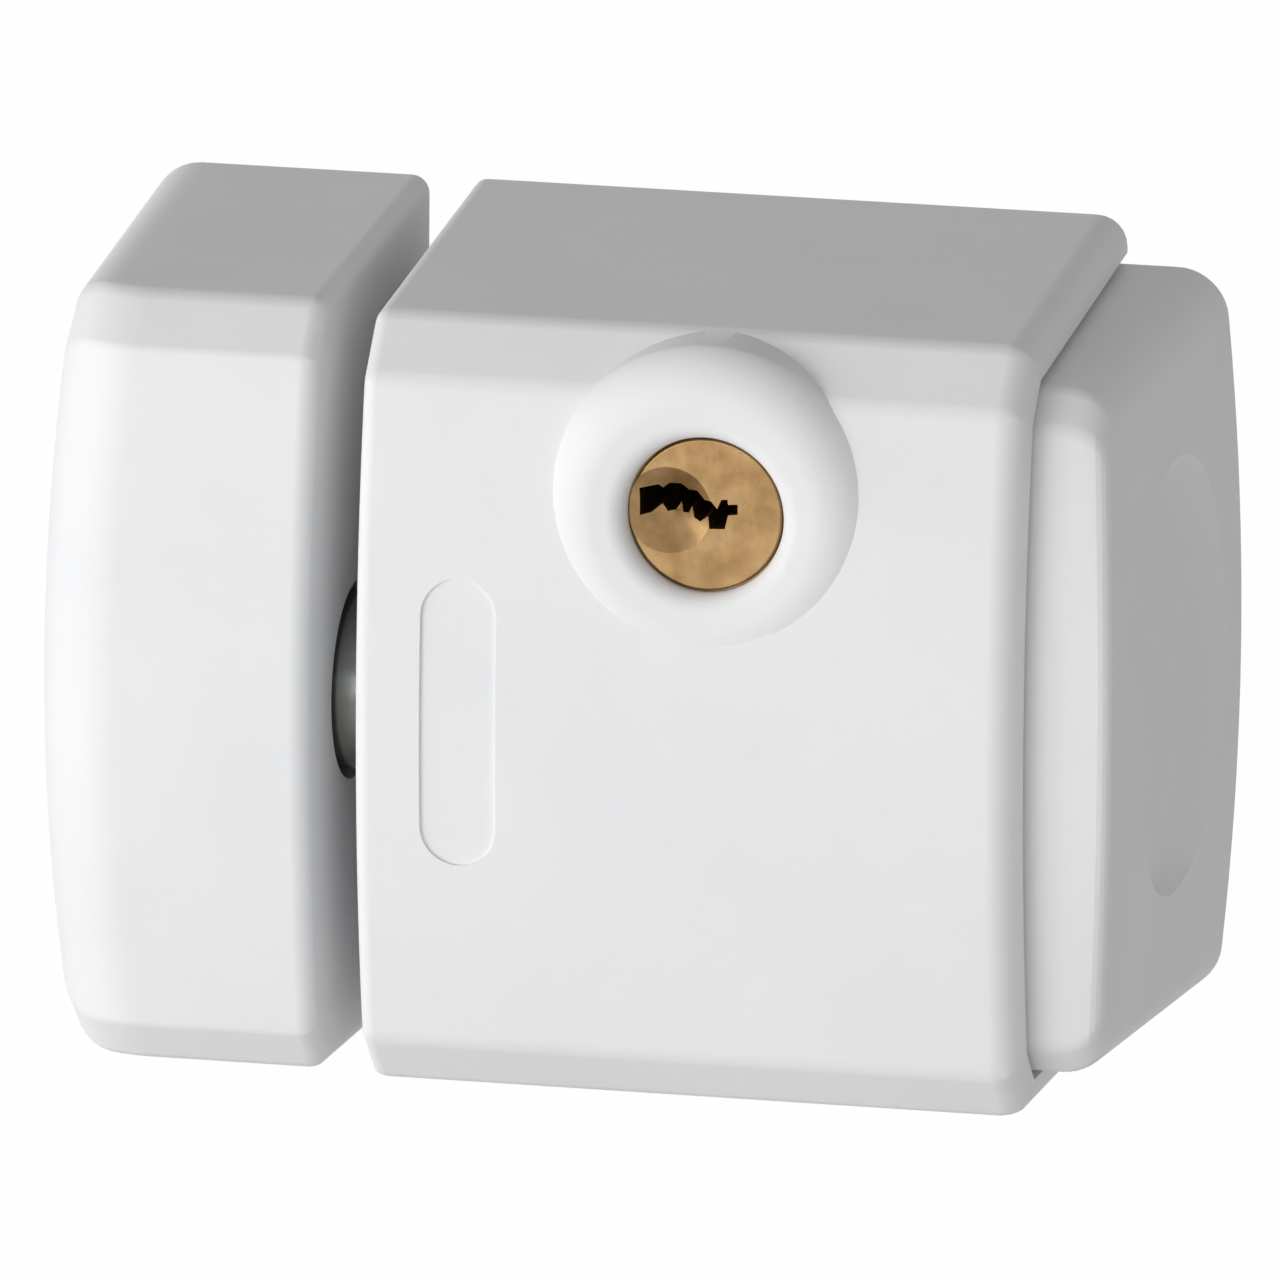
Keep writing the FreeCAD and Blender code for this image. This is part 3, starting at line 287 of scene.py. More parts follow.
def round_edges(piece: Piece, segments: int, radius_of: RadiusOf) -> None:
    """Rounds edges, each by its own radius.

    Args:
        piece: The solid.
        segments: Faces across each rounding.
        radius_of: Takes an edge's two ends in millimetres and the angle it turns through, and gives its
            radius, or 0 to leave it sharp.
    """
    sheet = bmesh.new()
    sheet.from_mesh(piece.data)
    reach = sheet.edges.layers.float.new("bevel_weight_edge")
    for edge in sheet.edges:
        angle = edge.calc_face_angle(0.0)
        edge[reach] = radius_of(edge.verts[0].co / MM, edge.verts[1].co / MM, angle) * math.tan(angle / 2)
    widest = max(edge[reach] for edge in sheet.edges)
    for edge in sheet.edges:
        edge[reach] /= widest
    sheet.to_mesh(piece.data)
    sheet.free()
    select_only(piece)
    step = piece.modifiers.new("round", "BEVEL")
    step.limit_method = "WEIGHT"
    step.offset_type = "OFFSET"
    step.width = widest * MM
    step.segments = segments
    step.use_clamp_overlap = False
    bpy.ops.object.modifier_apply(modifier=step.name)
    weld(piece)


def crown_end(piece: Piece, beyond: float, bow: float, half: float, way: float) -> None:
    """Bows a flat end over its height.

    Args:
        piece: The solid.
        beyond: X past which a point belongs to the end.
        bow: How much the end drops at the half height.
        half: The half height.
        way: 1 for an end that faces +X, -1 for one that faces -X.
    """
    with editing(piece, Pick.FACES):
        for step in range(-12, 12):
            height = (step + BOW_SHIFT) * BOW_STRIP * MM
            bpy.ops.mesh.select_all(action="SELECT")
            bpy.ops.mesh.bisect(plane_co=(0, 0, height), plane_no=(0, 0, 1), threshold=TOUCH)
    radius = (half ** 2 + bow ** 2) / (2 * bow)
    most = 2 * bow  # a drop that no point reaches, so that each weight is below 1
    pull = piece.vertex_groups.new(name="pull")
    for vert in piece.data.vertices:
        if way * vert.co.x > way * beyond * MM:
            drop = radius - math.sqrt(radius ** 2 - (vert.co.z / MM) ** 2)
            pull.add([vert.index], drop / most, "REPLACE")
    select_only(piece)
    step = piece.modifiers.new("bow", "DISPLACE")
    step.direction = "X"
    step.strength = -way * most * MM
    step.mid_level = 0.0
    step.vertex_group = pull.name
    bpy.ops.object.modifier_apply(modifier=step.name)
    piece.vertex_groups.clear()


def work_on(piece: Piece, tool: Piece, way: Join) -> None:
    """Adds a solid to a piece, or cuts it out of it, and clears the solid away.

    Args:
        piece: The piece that stays.
        tool: The solid that is used up.
        way: Whether it is added or cut.
    """
    select_only(piece)
    step = piece.modifiers.new("work", "BOOLEAN")
    step.operation = way.value
    step.object = tool
    step.solver = "EXACT"
    bpy.ops.object.modifier_apply(modifier=step.name)
    bpy.data.objects.remove(tool)


def smooth(piece: Piece, sharp_over: float = 26.0) -> None:
    """Cleans up a finished surface, smooths it and leaves its flats flat.

    Args:
        piece: The piece.
        sharp_over: Edges that turn by more degrees than this stay sharp.
    """
    weld(piece)
    select_only(piece)
    bpy.ops.object.shade_smooth_by_angle(angle=math.radians(sharp_over))
    step = piece.modifiers.new("flats", "WEIGHTED_NORMAL")
    step.keep_sharp = True
    step.weight = 60
    bpy.ops.object.modifier_apply(modifier=step.name)


def hand_over(piece: Piece, body: str, node: str, finish: Material) -> None:
    """Gives a finished piece its finish, its body and the part that it stands for.

    Args:
        piece: The piece.
        body: The body that it rides on.
        node: The part that it stands for.
        finish: Its material.
    """
    piece.data.materials.clear()
    piece.data.materials.append(finish)
    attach(piece, body)
    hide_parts(node)
    log.info("%s: %d faces, stands for %s", piece.name, len(piece.data.polygons), node)


# Side view that case, button and strike share: tapered walls, slanted bands and a crowned front.
# Where its walls move in by 1, the two edges of the band move back and towards the middle by these.
EDGE_SHIFT = (0.431, 0.979)
BAND_SHIFT = (0.924, 0.507)


@dataclass(frozen=True)
class SideView:
    """Corners of a shell's side view.

    Attributes:
        half: Half height on the mounting face.
        edge_depth: Depth of the edge between wall and slanted band.
        edge_half: Half height at that edge.
        band_depth: Depth of the edge between slanted band and crowned front.
        band_half: Half height at that edge.
        crown: Depth of the front in the middle.
    """

    half: float
    edge_depth: float
    edge_half: float
    band_depth: float
    band_half: float
    crown: float

    def inset(self, inset: float) -> "SideView":
        """The smaller side view with every wall moved in by the inset."""
        return SideView(
            self.half - inset,
            self.edge_depth - inset * EDGE_SHIFT[0],
            self.edge_half - inset * EDGE_SHIFT[1],
            self.band_depth - inset * BAND_SHIFT[0],
            self.band_half - inset * BAND_SHIFT[1],
            self.crown - inset,
        )

    def crown_depth(self, height: float) -> float:
        """Depth of the crowned front at a height.

        Args:
            height: The height from the middle.

        Returns:
            The depth.
        """
        drop = self.crown - self.band_depth
        radius = (self.band_half ** 2 + drop ** 2) / (2 * drop)
        return self.crown - radius + math.sqrt(radius ** 2 - height ** 2)

    def strips(self, count: int) -> list[float]:
        """Heights that divide the crowned front into a count of strips, from the lowest up."""
        return [self.band_half * (2 * step / count - 1) for step in range(count + 1)]

    def solid(self, name: str, left: float, right: float, back: float, count: int) -> Piece:
        """Planes a block to this side view.

        Args:
            name: The piece's name.
            left: X of its left end.
            right: X of its right end.
            back: Depth of its back.
            count: Strips of the crowned front.

        Returns:
            The solid.
        """
        piece = block(name, (left, -self.crown - 1, -self.half - 1), (right, -back, self.half + 1))
        wall = Vector((0, self.half - self.edge_half, self.edge_depth)).normalized()
        band = Vector((0, self.edge_half - self.band_half, self.band_depth - self.edge_depth)).normalized()
        cuts = []
        for side in (1, -1):
            cuts.append(((0, 0, side * self.half), (0, -wall.y, side * wall.z)))
            cuts.append(((0, -self.band_depth, side * self.band_half), (0, -band.y, side * band.z)))
        heights = self.strips(count)
        for low, high in zip(heights, heights[1:]):
            start, end = self.crown_depth(low), self.crown_depth(high)
            facing = Vector((0, -(high - low), -(end - start))).normalized()
            cuts.append(((0, -start, low), tuple(facing)))
        plane_off(piece, cuts)
        return piece


CASE_VIEW = SideView(32.6, 34.7, 30.64, 39.08, 26.37, 41.84)
STRIKE_VIEW = SideView(32.6, 33.2, 30.74, 36.9, 27.0, 39.9)
CYLINDER_X = 1.3
CYLINDER_Z = 17.4
BOLT_DEPTH = 23.8
BOLT_Z = -1.8


def lathe(name: str, line: Sequence[Flat], steps: int, across: float = 0, up: float = 0) -> Piece:
    """Turns a profile about the key cylinder's axis, or one beside it.

    Args:
        name: The piece's name.
        line: Radius and depth of the profile's points.
        steps: Sides of the circle.
        across: How far the axis lies to the right.
        up: How far it lies above.

    Returns:
        The turned solid.
    """
    centre = (CYLINDER_X + across, 0, CYLINDER_Z + up)
    profile = [(centre[0] + out, -depth, centre[2]) for out, depth in line]
    return turned(name, profile, centre, (0, 1, 0), steps)


def long_edge(view: SideView, radii: Flat, low: Vector, high: Vector) -> float:
    """Radius of a long edge between wall, slanted band and crowned front.

    Args:
        view: The solid's side view.
        radii: Radius between wall and band, and between band and front.
        low: One end of the edge.
        high: The other end.

    Returns:
        The radius, or 0 for any other edge.
    """
    shortest, straight, near = 4, 0.3, 0.2
    if abs(low.x - high.x) < shortest or abs(low.y - high.y) > straight or abs(low.z - high.z) > straight:
        return 0.0
    if abs(low.y + view.edge_depth) < near:
        return radii[0]
    if abs(low.y + view.band_depth) < near:
        return radii[1]
    return 0.0


def roll_end(piece: Piece, view: SideView, way: float, back: float, radii: Flat, steps: int) -> None:
    """Rolls a flat end over: pulls it out in small steps, each a little smaller than the last.

    Args:
        piece: The solid.
        view: Its side view.
        way: 1 for an end that faces +X, -1 for one that faces -X.
        back: Depth of its back, which stays flat.
        radii: Radius at the front and at the top and bottom.
        steps: How many steps the rounding has.
    """
    reach = max(radii)
    gap, sizes = reach, (1.0, 1.0)
    with editing(piece, Pick.FACES):
        bpy.ops.mesh.select_all(action="DESELECT")
        sheet = bmesh.from_edit_mesh(piece.data)
        for face in sheet.faces:
            face.select_set(face.normal.x * way > 0.9)
        bmesh.update_edit_mesh(piece.data)
        for step in range(1, steps + 1):
            left = reach * (1 - math.sin(math.pi / 2 * step / steps))
            shrunk = [radius - math.sqrt(radius ** 2 - max(radius - left, 0) ** 2) for radius in radii]
            front = (view.crown - back - shrunk[0]) / (view.crown - back)
            side = (view.half - shrunk[1]) / view.half
            pull = {"value": (way * (gap - left) * MM, 0, 0)}
            bpy.ops.mesh.extrude_region_move(TRANSFORM_OT_translate=pull)
            bpy.ops.transform.resize(value=(1, front / sizes[0], side / sizes[1]),
                                     center_override=(0, -back * MM, 0))
            gap, sizes = left, (front, side)


def stand_post(shell: Piece, centre: Flat, radius: float, depths: Flat, pilot: float) -> None:
    """Stands a screw post inside a shell.

    Args:
        shell: The shell.
        centre: X and Z of the post.
        radius: Its radius.
        depths: Where it starts and ends.
        pilot: Depth to which the screw's hole goes.
    """
    x, z = centre
    work_on(shell, rod("post", radius, (x, -depths[0], z), (x, -depths[1], z)), Join.ADD)
    work_on(shell, rod("pilot", PILOT_RADIUS, (x, -depths[0] + 1, z), (x, -pilot, z), 24), Join.CUT)


@dataclass
class LockCase:
    """White cover of the lock: a crowned shell with the cylinder's boss.

    Attributes:
        reach: Half its length along the bolt.
        lean: How far its left wall leans in at the front.
        wall: Thickness of its wall.
        left_round: Radius of the edges of its left wall.
        right_round: Radius of the lip at its open end.
        long_rounds: Radius between walls and slanted bands, and between bands and front.
        boss_line: Radius and depth of the boss's foot, side, shoulder and flat front.
        plug_hole: Radius of the hole round the plug.
        plug_room: Radius of the wider room behind it, and its depths.
        lip: Radius of the hole's rounded lip.
        bolt_hole: Radius of the hole round the bolt.
        panel_x: X of the middle of the pill-shaped panel.
        panel_half: Half its width and height.
        panel_sink: How far it is sunk.
        posts: Centre, radius, depths and hole's depth of each screw post.
    """

    reach: float = 26.0
    lean: float = 0.6
    wall: float = 2.9
    left_round: float = 1.2
    right_round: float = 2.4
    long_rounds: Flat = (2.4, 2.6)
    boss_line: Sequence[Flat] = ((13.25, 26.37), (13.05, 38.6), (11.55, 40.9), (8.2, 41.8))
    plug_hole: float = 6.15
    plug_room: Point = (7.6, 30.0, 39.9)
    lip: float = 1.5
    bolt_hole: float = 7.5
    panel_x: float = -17.8
    panel_half: Flat = (3.0, 11.4)
    panel_sink: float = 0.3
    posts: Posts = (
        ((-18.5, 21.6), 3.3, (3.3, 38.5), 16), ((-18.5, -21.6), 3.3, (3.3, 38.5), 16),
        ((-10.4, 13.2), 3.0, (34.6, 39), 38.8), ((-10.4, 22.2), 3.0, (34.6, 39), 38.8),
    )

    def boss(self) -> Piece:
        """Turns the round boss of the key cylinder."""
        foot, side, shoulder, front = self.boss_line
        return lathe("boss", [(0, foot[1]), foot, *bend(side, shoulder, front, 14), (0, front[1])], 128)

    def plug_way(self) -> Piece:
        """Turns the tool that opens the boss, with a rounded lip."""
        hole, front, edge = self.plug_hole, self.boss_line[-1][1], self.plug_hole + self.lip
        dip = self.lip * (1 - math.sqrt(0.5))
        lip = bend((hole, front - self.lip), (hole + dip, front - dip), (edge, front), 8)
        room, back, step = self.plug_room
        return lathe("plug_way", [(0, back), (room, back), (room, step), (hole, step), *lip,
                                  (edge, front + 2), (0, front + 2)], 128)

    def panel(self) -> Piece:
        """Saws the tool that sinks the plain panel, its floor crowned like the front."""
        x, (radius, half_height), start = self.panel_x, self.panel_half, -38.0
        straight = half_height - radius
        upper = bend((x + radius, straight), (x, half_height), (x - radius, straight), 16)
        lower = [(2 * x - across, -up) for across, up in upper]
        pill = sawn("pill", [(across, start, up) for across, up in upper + lower], (0, -6, 0))
        floor = CASE_VIEW.inset(self.panel_sink).solid("panel_floor", -self.reach, 0, 0, 48)
        work_on(pill, floor, Join.CUT)
        return pill

    def build(self, finish: Material) -> None:
        """Builds the cover.

        Args:
            finish: The white finish.
        """
        cover = CASE_VIEW.solid("lock_cover_shell", -self.reach, self.reach, 0, 24)
        leaning = Vector((-(CASE_VIEW.crown + 2), self.lean, 0)).normalized()
        plane_off(cover, [((-self.reach, 0, 0), tuple(leaning))])
        round_edges(cover, 6, self.rounding)
        work_on(cover, self.boss(), Join.ADD)
        inside = -self.reach + self.lean + self.wall
        work_on(cover, CASE_VIEW.inset(self.wall).solid("room", inside, self.reach + 5, -5, 12), Join.CUT)
        for post in self.posts:
            stand_post(cover, *post)
        work_on(cover, self.plug_way(), Join.CUT)
        work_on(cover, self.panel(), Join.CUT)
        ends = (-self.reach - 2, -self.reach + 6)
        work_on(cover, cross_rod("bolt_way", self.bolt_hole, ends, BOLT_DEPTH, BOLT_Z, 96), Join.CUT)
        smooth(cover)
        hand_over(cover, "case", "lock_cover", finish)

    def rounding(self, low: Vector, high: Vector, angle: float) -> float:
        """Radius of each edge of the cover.

        Args:
            low: One end of the edge in millimetres.
            high: The other end.
            angle: The angle that the edge turns through.

        Returns:
            The radius.
        """
        if min(low.y, high.y) > -0.1 or (abs(low.y) < 0.1 and abs(high.y) < 0.1):
            return 0.0
        if angle > 1 and max(low.x, high.x) < -self.reach + 1:
            return self.left_round
        if angle > 1 and min(low.x, high.x) > self.reach - 0.05:
            return self.right_round
        return long_edge(CASE_VIEW, self.long_rounds, low, high)


@dataclass
class PushButton:
    """White button: a shell that slides in the case's mouth, with an oval for the finger.

    Attributes:
        left: X of its open end.
        end: X of its closed end, at the back and in the middle.
        tilt: Degrees that the closed end leans back.
        drop: How much lower the closed end is at the case's half height.
        inset: How far its walls stand inside the case's side view.
        wall: Thickness of its wall.
        cavity: X to which it is hollow.
        long_rounds: Radius between walls and slanted bands, and between bands and front.
        end_rounds: Radius of the closed end at the front, and at top and bottom.
        recess_depth: Depth of the middle of the finger's oval.
        recess_z: Height of its middle.
        recess_half: Half its width and height.
        recess_join: Where its four arcs meet, across and up from its middle.
        recess_sink: How far its floor is sunk.
        recess_sides: Width of its side towards the front, towards the back and at its ends.
        screw_depth: Depth of the two screw bosses on the closed end.
        screw_z: How far they stand above and below the middle.
        screw_radius: Their radius.
    """

    left: float = 10.6
    end: float = 35.6
    tilt: float = 4.3
    drop: float = 2.1
    inset: float = 3.5
    wall: float = 2.2
    cavity: float = 31.0
    long_rounds: Flat = (1.8, 2.4)
    end_rounds: Flat = (1.3, 3.6)
    recess_depth: float = 17.5
    recess_z: float = 0.8
    recess_half: Flat = (12.2, 17.4)
    recess_join: Flat = (10.6, 8.8)
    recess_sink: float = 1.6
    recess_sides: Point = (1.0, 7.5, 2.0)
    screw_depth: float = 18.0
    screw_z: float = 11.0
    screw_radius: float = 3.3

    def recess(self) -> Piece:
        """Models the tool for the finger's oval, with a short front side and a long curved rear side."""
        (across, up), (x, z) = self.recess_half, self.recess_join
        corners = [((x, -z), (across, 0)), ((x, z), (0, up)), ((-x, z), (-across, 0)), ((-x, -z), (0, -up))]
        oval = []
        for index, (start, middle) in enumerate(corners):
            oval += bend(start, middle, corners[(index + 1) % 4][0], 20)[:-1]
        dish = drawn_line("recess", [(0, y, z) for y, z in oval])
        front, rear, ends = self.recess_sides
        narrower, forwards = (front + rear) / 2, (front - rear) / 2

        def ring(part: float) -> tuple[float, float, float, float]:
            """Rise, shift and half sizes of the side at a part of its width."""
            rest = 1 - part
            return self.recess_sink * part ** 2, forwards * rest, across - narrower * rest, up - ends * rest

        with editing(dish):
            bpy.ops.mesh.edge_face_add()
            last = (0.0, 0.0, across, up)
            # The floor, the side up to the surface and a ring that stands clear of it
            for part in (0, 0.2, 0.4, 0.6, 0.8, 1, 1.4):
                rise, shift, wide, tall = ring(part)
                step = {"value": ((rise - last[0]) * MM, (shift - last[1]) * MM, 0)}
                if part:
                    bpy.ops.mesh.extrude_region_move(TRANSFORM_OT_translate=step)
                else:
                    bpy.ops.transform.translate(**step)
                bpy.ops.transform.resize(value=(1, wide / last[2], tall / last[3]),
                                         center_override=(rise * MM, shift * MM, 0))
                last = (rise, shift, wide, tall)
            bpy.ops.mesh.select_all(action="SELECT")
            bpy.ops.mesh.normals_make_consistent(inside=False)
        lean = math.radians(self.tilt)
        surface = self.end - self.recess_depth * math.tan(lean)
        place = Matrix.Translation(Vector((surface, -self.recess_depth, self.recess_z)) * MM)
        sink = Matrix.Translation((-self.recess_sink * MM, 0, 0))
        dish.matrix_world = place @ Matrix.Rotation(-lean, 4, "Z") @ sink
        select_only(dish)
        bpy.ops.object.transform_apply(location=True, rotation=True, scale=True)
        return dish

    def build(self, finish: Material) -> None:
        """Builds the button.

        Args:
            finish: The white finish.
        """
        view = CASE_VIEW.inset(self.inset)
        button = view.solid("push_button_shell", self.left, self.end + 4, 1, 24)
        lean = math.radians(self.tilt)
        plane_off(button, [((self.end - max(self.end_rounds), 0, 0), (math.cos(lean), -math.sin(lean), 0))])
        round_edges(button, 6, lambda low, high, angle: long_edge(view, self.long_rounds, low, high))
        roll_end(button, view, 1, 1, self.end_rounds, 10)
        work_on(button, self.recess(), Join.CUT)
        crown_end(button, (self.left + self.cavity) / 2, self.drop, CASE_VIEW.half, 1)
        room = view.inset(self.wall).solid("room", self.left - 5, self.cavity, -5, 12)
        work_on(button, room, Join.CUT)
        depth, end = self.screw_depth, self.cavity
        for z in (self.screw_z, -self.screw_z):
            boss = cross_rod("screw_boss", self.screw_radius, (end - 1, end + 0.5), depth, z)
            work_on(button, boss, Join.ADD)
            work_on(button, cross_rod("pilot", PILOT_RADIUS, (end - 2, end + 1), depth, z, 24), Join.CUT)
        smooth(button, 14)  # keeps the crease at the oval's rear rim
        hand_over(button, "slider", "push_button", finish)


@dataclass
class StrikeBox:
    """White strike on the window's frame: a crowned box with a hole that takes the bolt.

    Attributes:
        near: How far its right face stands from the middle of the lock.
        far: How far its left end stands.
        lean: How far its right face leans away at the front.
        bulge: How far the left end is crowned at its half height.
        end_angle: Degrees that the left end leans to the right at the front.
        wall: Thickness of its wall.
        left_wall: Thickness of its left wall at the back.
        long_rounds: Radius between walls and slanted bands, and between bands and front.
        end_rounds: Radius of the left end at the front, and at top and bottom.
        right_round: Radius of the edges of its right face.
        corner: Where the chamfer of the cavity's front corner lies, from the left and from the front.
        hole: Radius of the hole that takes the bolt.
        posts: Centre, radius, depths and hole's depth of each screw post.
    """

    near: float = 29.5
    far: float = 53.0
    lean: float = 0.7
    bulge: float = 1.9
    end_angle: float = 1.0
    wall: float = 2.4
    left_wall: float = 3.3
    long_rounds: Flat = (2.4, 1.2)
    end_rounds: Flat = (7.0, 3.5)
    right_round: float = 1.4
    corner: Flat = (1.7, 1.8)
    hole: float = 7.8
    posts: Posts = (((-45.0, 21.6), 3.3, (4.3, 36.8), 16), ((-45.0, -21.6), 3.3, (4.3, 36.8), 16))

    def build(self, finish: Material) -> None:
        """Builds the strike.

        Args:
            finish: The white finish.
        """
        def rounding(low: Vector, high: Vector, angle: float) -> float:
            """Radius of an edge of the right face, or else of a long edge."""
            if angle > 1 and min(low.x, high.x) > -self.near - 1.6 and min(low.y, high.y) < -2:
                return self.right_round
            return long_edge(STRIKE_VIEW, self.long_rounds, low, high)

        box = STRIKE_VIEW.solid("strike_cover_shell", -self.far - 1, -self.near, 0, 24)
        leaning = Vector((STRIKE_VIEW.crown + 2, -self.lean, 0)).normalized()
        slant = math.radians(self.end_angle)
        plane_off(box, [((-self.near, 0, 0), tuple(leaning)),
                        ((max(self.end_rounds) - self.far, 0, 0), (-math.cos(slant), -math.sin(slant), 0))])
        round_edges(box, 6, rounding)
        roll_end(box, STRIKE_VIEW, -1, 0, self.end_rounds, 12)
        crown_end(box, -(self.near + self.far) / 2, self.bulge, STRIKE_VIEW.half + 1, -1)
        face = self.near + self.lean
        inside = -self.far + self.left_wall
        room = STRIKE_VIEW.inset(self.wall).solid("room", inside, -face - self.wall, -5, 12)
        corner = (self.corner[0] + inside, self.corner[1] + self.wall - STRIKE_VIEW.crown, 0)
        plane_off(room, [(corner, (-1, -1, 0))])
        work_on(box, room, Join.CUT)
        for post in self.posts:
            stand_post(box, *post)
        ends = (-self.near + 2, -face - 4)
        work_on(box, cross_rod("bolt_way", self.hole, ends, BOLT_DEPTH, BOLT_Z, 96), Join.CUT)
        smooth(box)
        hand_over(box, "case", "strike_cover", finish)


# Metal parts that show
@dataclass
class Bolt:
    """Round steel bolt with chamfered ends and the hole of its cross pin.

    Attributes:
        tip: X of the end that enters the strike.
        tail: X of the other end.
        radius: Its radius.
        chamfer: Size of the chamfer at the tip.
        tail_chamfer: Size of the chamfer at the tail.
        chamfer_round: Radius of the chamfers' edges.
        pin_x: X of the cross pin's hole.
        pin_radius: Its radius.
    """

    tip: float = -38.8
    tail: float = 11.0
    radius: float = 7.0
    chamfer: float = 1.2
    tail_chamfer: float = 0.5
    chamfer_round: float = 0.5
    pin_x: float = 6.0
    pin_radius: float = 1.5

    def build(self, finish: Material) -> None:
        """Builds the bolt.

        Args:
            finish: The steel finish.
        """
        line = [(self.tip, 0), (self.tip, self.radius - self.chamfer), (self.tip + self.chamfer, self.radius),
                (self.tail - self.tail_chamfer, self.radius), (self.tail, self.radius - self.tail_chamfer),
                (self.tail, 0)]
        profile = [(x, -BOLT_DEPTH, BOLT_Z + out) for x, out in line]
        bolt = turned("bolt_bar", profile, (0, -BOLT_DEPTH, BOLT_Z), (1, 0, 0), 144)
        round_edges(bolt, 4, lambda low, high, angle:
                    self.chamfer_round if angle > 0.5 and (low - high).length < 1 else 0)
        past = self.radius + 2
        pin_way = rod("pin_way", self.pin_radius, (self.pin_x, -BOLT_DEPTH - past, BOLT_Z),
                      (self.pin_x, -BOLT_DEPTH + past, BOLT_Z))
        work_on(bolt, pin_way, Join.CUT)
        smooth(bolt)
        hand_over(bolt, "slider", "bolt", finish)


@dataclass
class KeyPlug:
    """Brass plug of the key cylinder: a turned barrel with a wavy keyway and a conical sink over it.

    Attributes:
        front: Depth of its face.
        radius: Radius of its barrel.
        edge: Chamfer round its face.
        edge_round: Radius of the chamfer's edges.
        stem: Radius and depth of the points of its stem, with the groove of the clip.
        tail: Half the width of the square tail that turns the cam, and its depths.
        sink_spot: Middle of the conical sink, across and up from the axis.
        sink_radii: Radius of the sink's floor, and on the face.
        sink_depth: How deep it is.
        pin_depths: Depths of the holes of the key pins.
        pin_radius: Their radius.
        keyway: The wavy section, across and up from the axis.
    """

    front: float = 40.3
    radius: float = 6.0
    edge: float = 0.14
    edge_round: float = 0.1
    stem: Sequence[Flat] = (
        (0, 12.2), (4, 12.2), (4, 13.25), (3.2, 13.25), (3.2, 14.15), (4, 14.15), (4, 16.1))
    tail: Point = (2.5, 12.7, 10.2)
    sink_spot: Flat = (-2.95, 0.2)
    sink_radii: Flat = (0.5, 3.4)
    sink_depth: float = 1.9
    pin_depths: Sequence[float] = tuple(31.0 - 3.2 * place for place in range(5))
    pin_radius: float = 1.35
    keyway: Sequence[Flat] = (
        (-5.3, 1.7), (-3.9, 1.95), (-3.6, 1.65), (-3.05, 2.1), (-2.1, 2.15), (-1.5, 1.7), (-0.8, 1.75),
        (-0.15, 1.1), (0.4, 1.1), (0.9, 0.5), (1.2, 1.25), (1.7, 1.3), (1.75, 0.9), (2.5, 0.95), (2.5, 0.15),
        (1.75, 0.05), (1.5, -1.05), (0.3, -1.1), (0.15, -0.15), (-0.55, -0.7), (-1.1, -0.5), (-1.3, 0.35),
        (-1.6, -0.25), (-2.1, -0.3), (-2.25, 0.5), (-2.7, -0.25), (-3.35, -0.35), (-3.75, 0.25),
        (-4.5, -0.35), (-5.3, -0.5),
    )

    def build(self, finish: Material) -> None:
        """Builds the plug.

        Args:
            finish: The brass finish.
        """
        plug = lathe("plug_barrel", [
            *self.stem, (self.radius, self.stem[-1][1]), (self.radius, self.front - self.edge),
            (self.radius - self.edge, self.front), (0, self.front)], 144)
        round_edges(plug, 3, lambda low, high, angle:
                    self.edge_round if angle > 0.5 and max(low.y, high.y) < -self.front + 1.3 else 0)
        half, back, front = self.tail
        tail = block("tail", (CYLINDER_X - half, -back, CYLINDER_Z - half),
                     (CYLINDER_X + half, -front, CYLINDER_Z + half))
        work_on(plug, tail, Join.ADD)
        section = [(CYLINDER_X + across, -self.front - 1, CYLINDER_Z + up) for across, up in self.keyway]
        work_on(plug, sawn("keyway", section, (0, 25, 0)), Join.CUT)
        floor, (inner, outer) = self.front - self.sink_depth, self.sink_radii
        sink = [(0, floor), (inner, floor), (outer, self.front), (outer + 0.15, self.front + 0.1),
                (0, self.front + 0.1)]
        work_on(plug, lathe("sink", sink, 144, *self.sink_spot), Join.CUT)
        ends = (CYLINDER_X, CYLINDER_X + 8)
        for depth in self.pin_depths:
            work_on(plug, cross_rod("pin_way", self.pin_radius, ends, depth, CYLINDER_Z, 32), Join.CUT)
        smooth(plug, 5)  # keeps the small rounding round the face from shading the face
        hand_over(plug, "plug", "cylinder_plug", finish)


# Finishes
class Board:
    """A node tree that is wired by short calls."""

    def __init__(self, tree: bpy.types.NodeTree) -> None:
        """Takes the tree to wire."""
        self.tree = tree

    def feed(self, socket: Socket, given: object) -> None:
        """Gives an input its value, or links an output socket to it.

        Args:
            socket: The input.
            given: The value or output socket.
        """
        if isinstance(given, Socket):
            self.tree.links.new(given, socket)
        else:
            socket.default_value = given

    def add(self, kind: str, settings: dict | None = None, **sockets: object) -> bpy.types.Node:
        """Adds a node.

        Args:
            kind: The node's type.
            settings: Properties of the node.
            sockets: Values or output sockets for its inputs, with _ for a space.

        Returns:
            The node.
        """
        made = self.tree.nodes.new(kind)
        for name, setting in (settings or {}).items():
            setattr(made, name, setting)
        for name, given in sockets.items():
            self.feed(made.inputs[name.replace("_", " ")], given)
        return made

    def combine(self, operation: str, first: object, second: object) -> Socket:
        """Adds a math node.

        Args:
            operation: What it does.
            first: Its first value or output socket.
            second: Its second one.

        Returns:
            The result.
        """
        made = self.add("ShaderNodeMath", {"operation": operation})
        self.feed(made.inputs[0], first)
        self.feed(made.inputs[1], second)
        return made.outputs[0]

    def ramp(self, source: Socket, stops: dict[float, Point]) -> Socket:
        """Adds a colour ramp.

        Args:
            source: What runs along the ramp.
            stops: Colour at each position.

        Returns:
            The colour.
        """
        made = self.add("ShaderNodeValToRGB", Fac=source)
        while len(made.color_ramp.elements) < len(stops):
            made.color_ramp.elements.new(0.5)
        for element, (place, colour) in zip(made.color_ramp.elements, stops.items()):
            element.position = place
            element.color = (*colour, 1)
        return made.outputs["Color"]


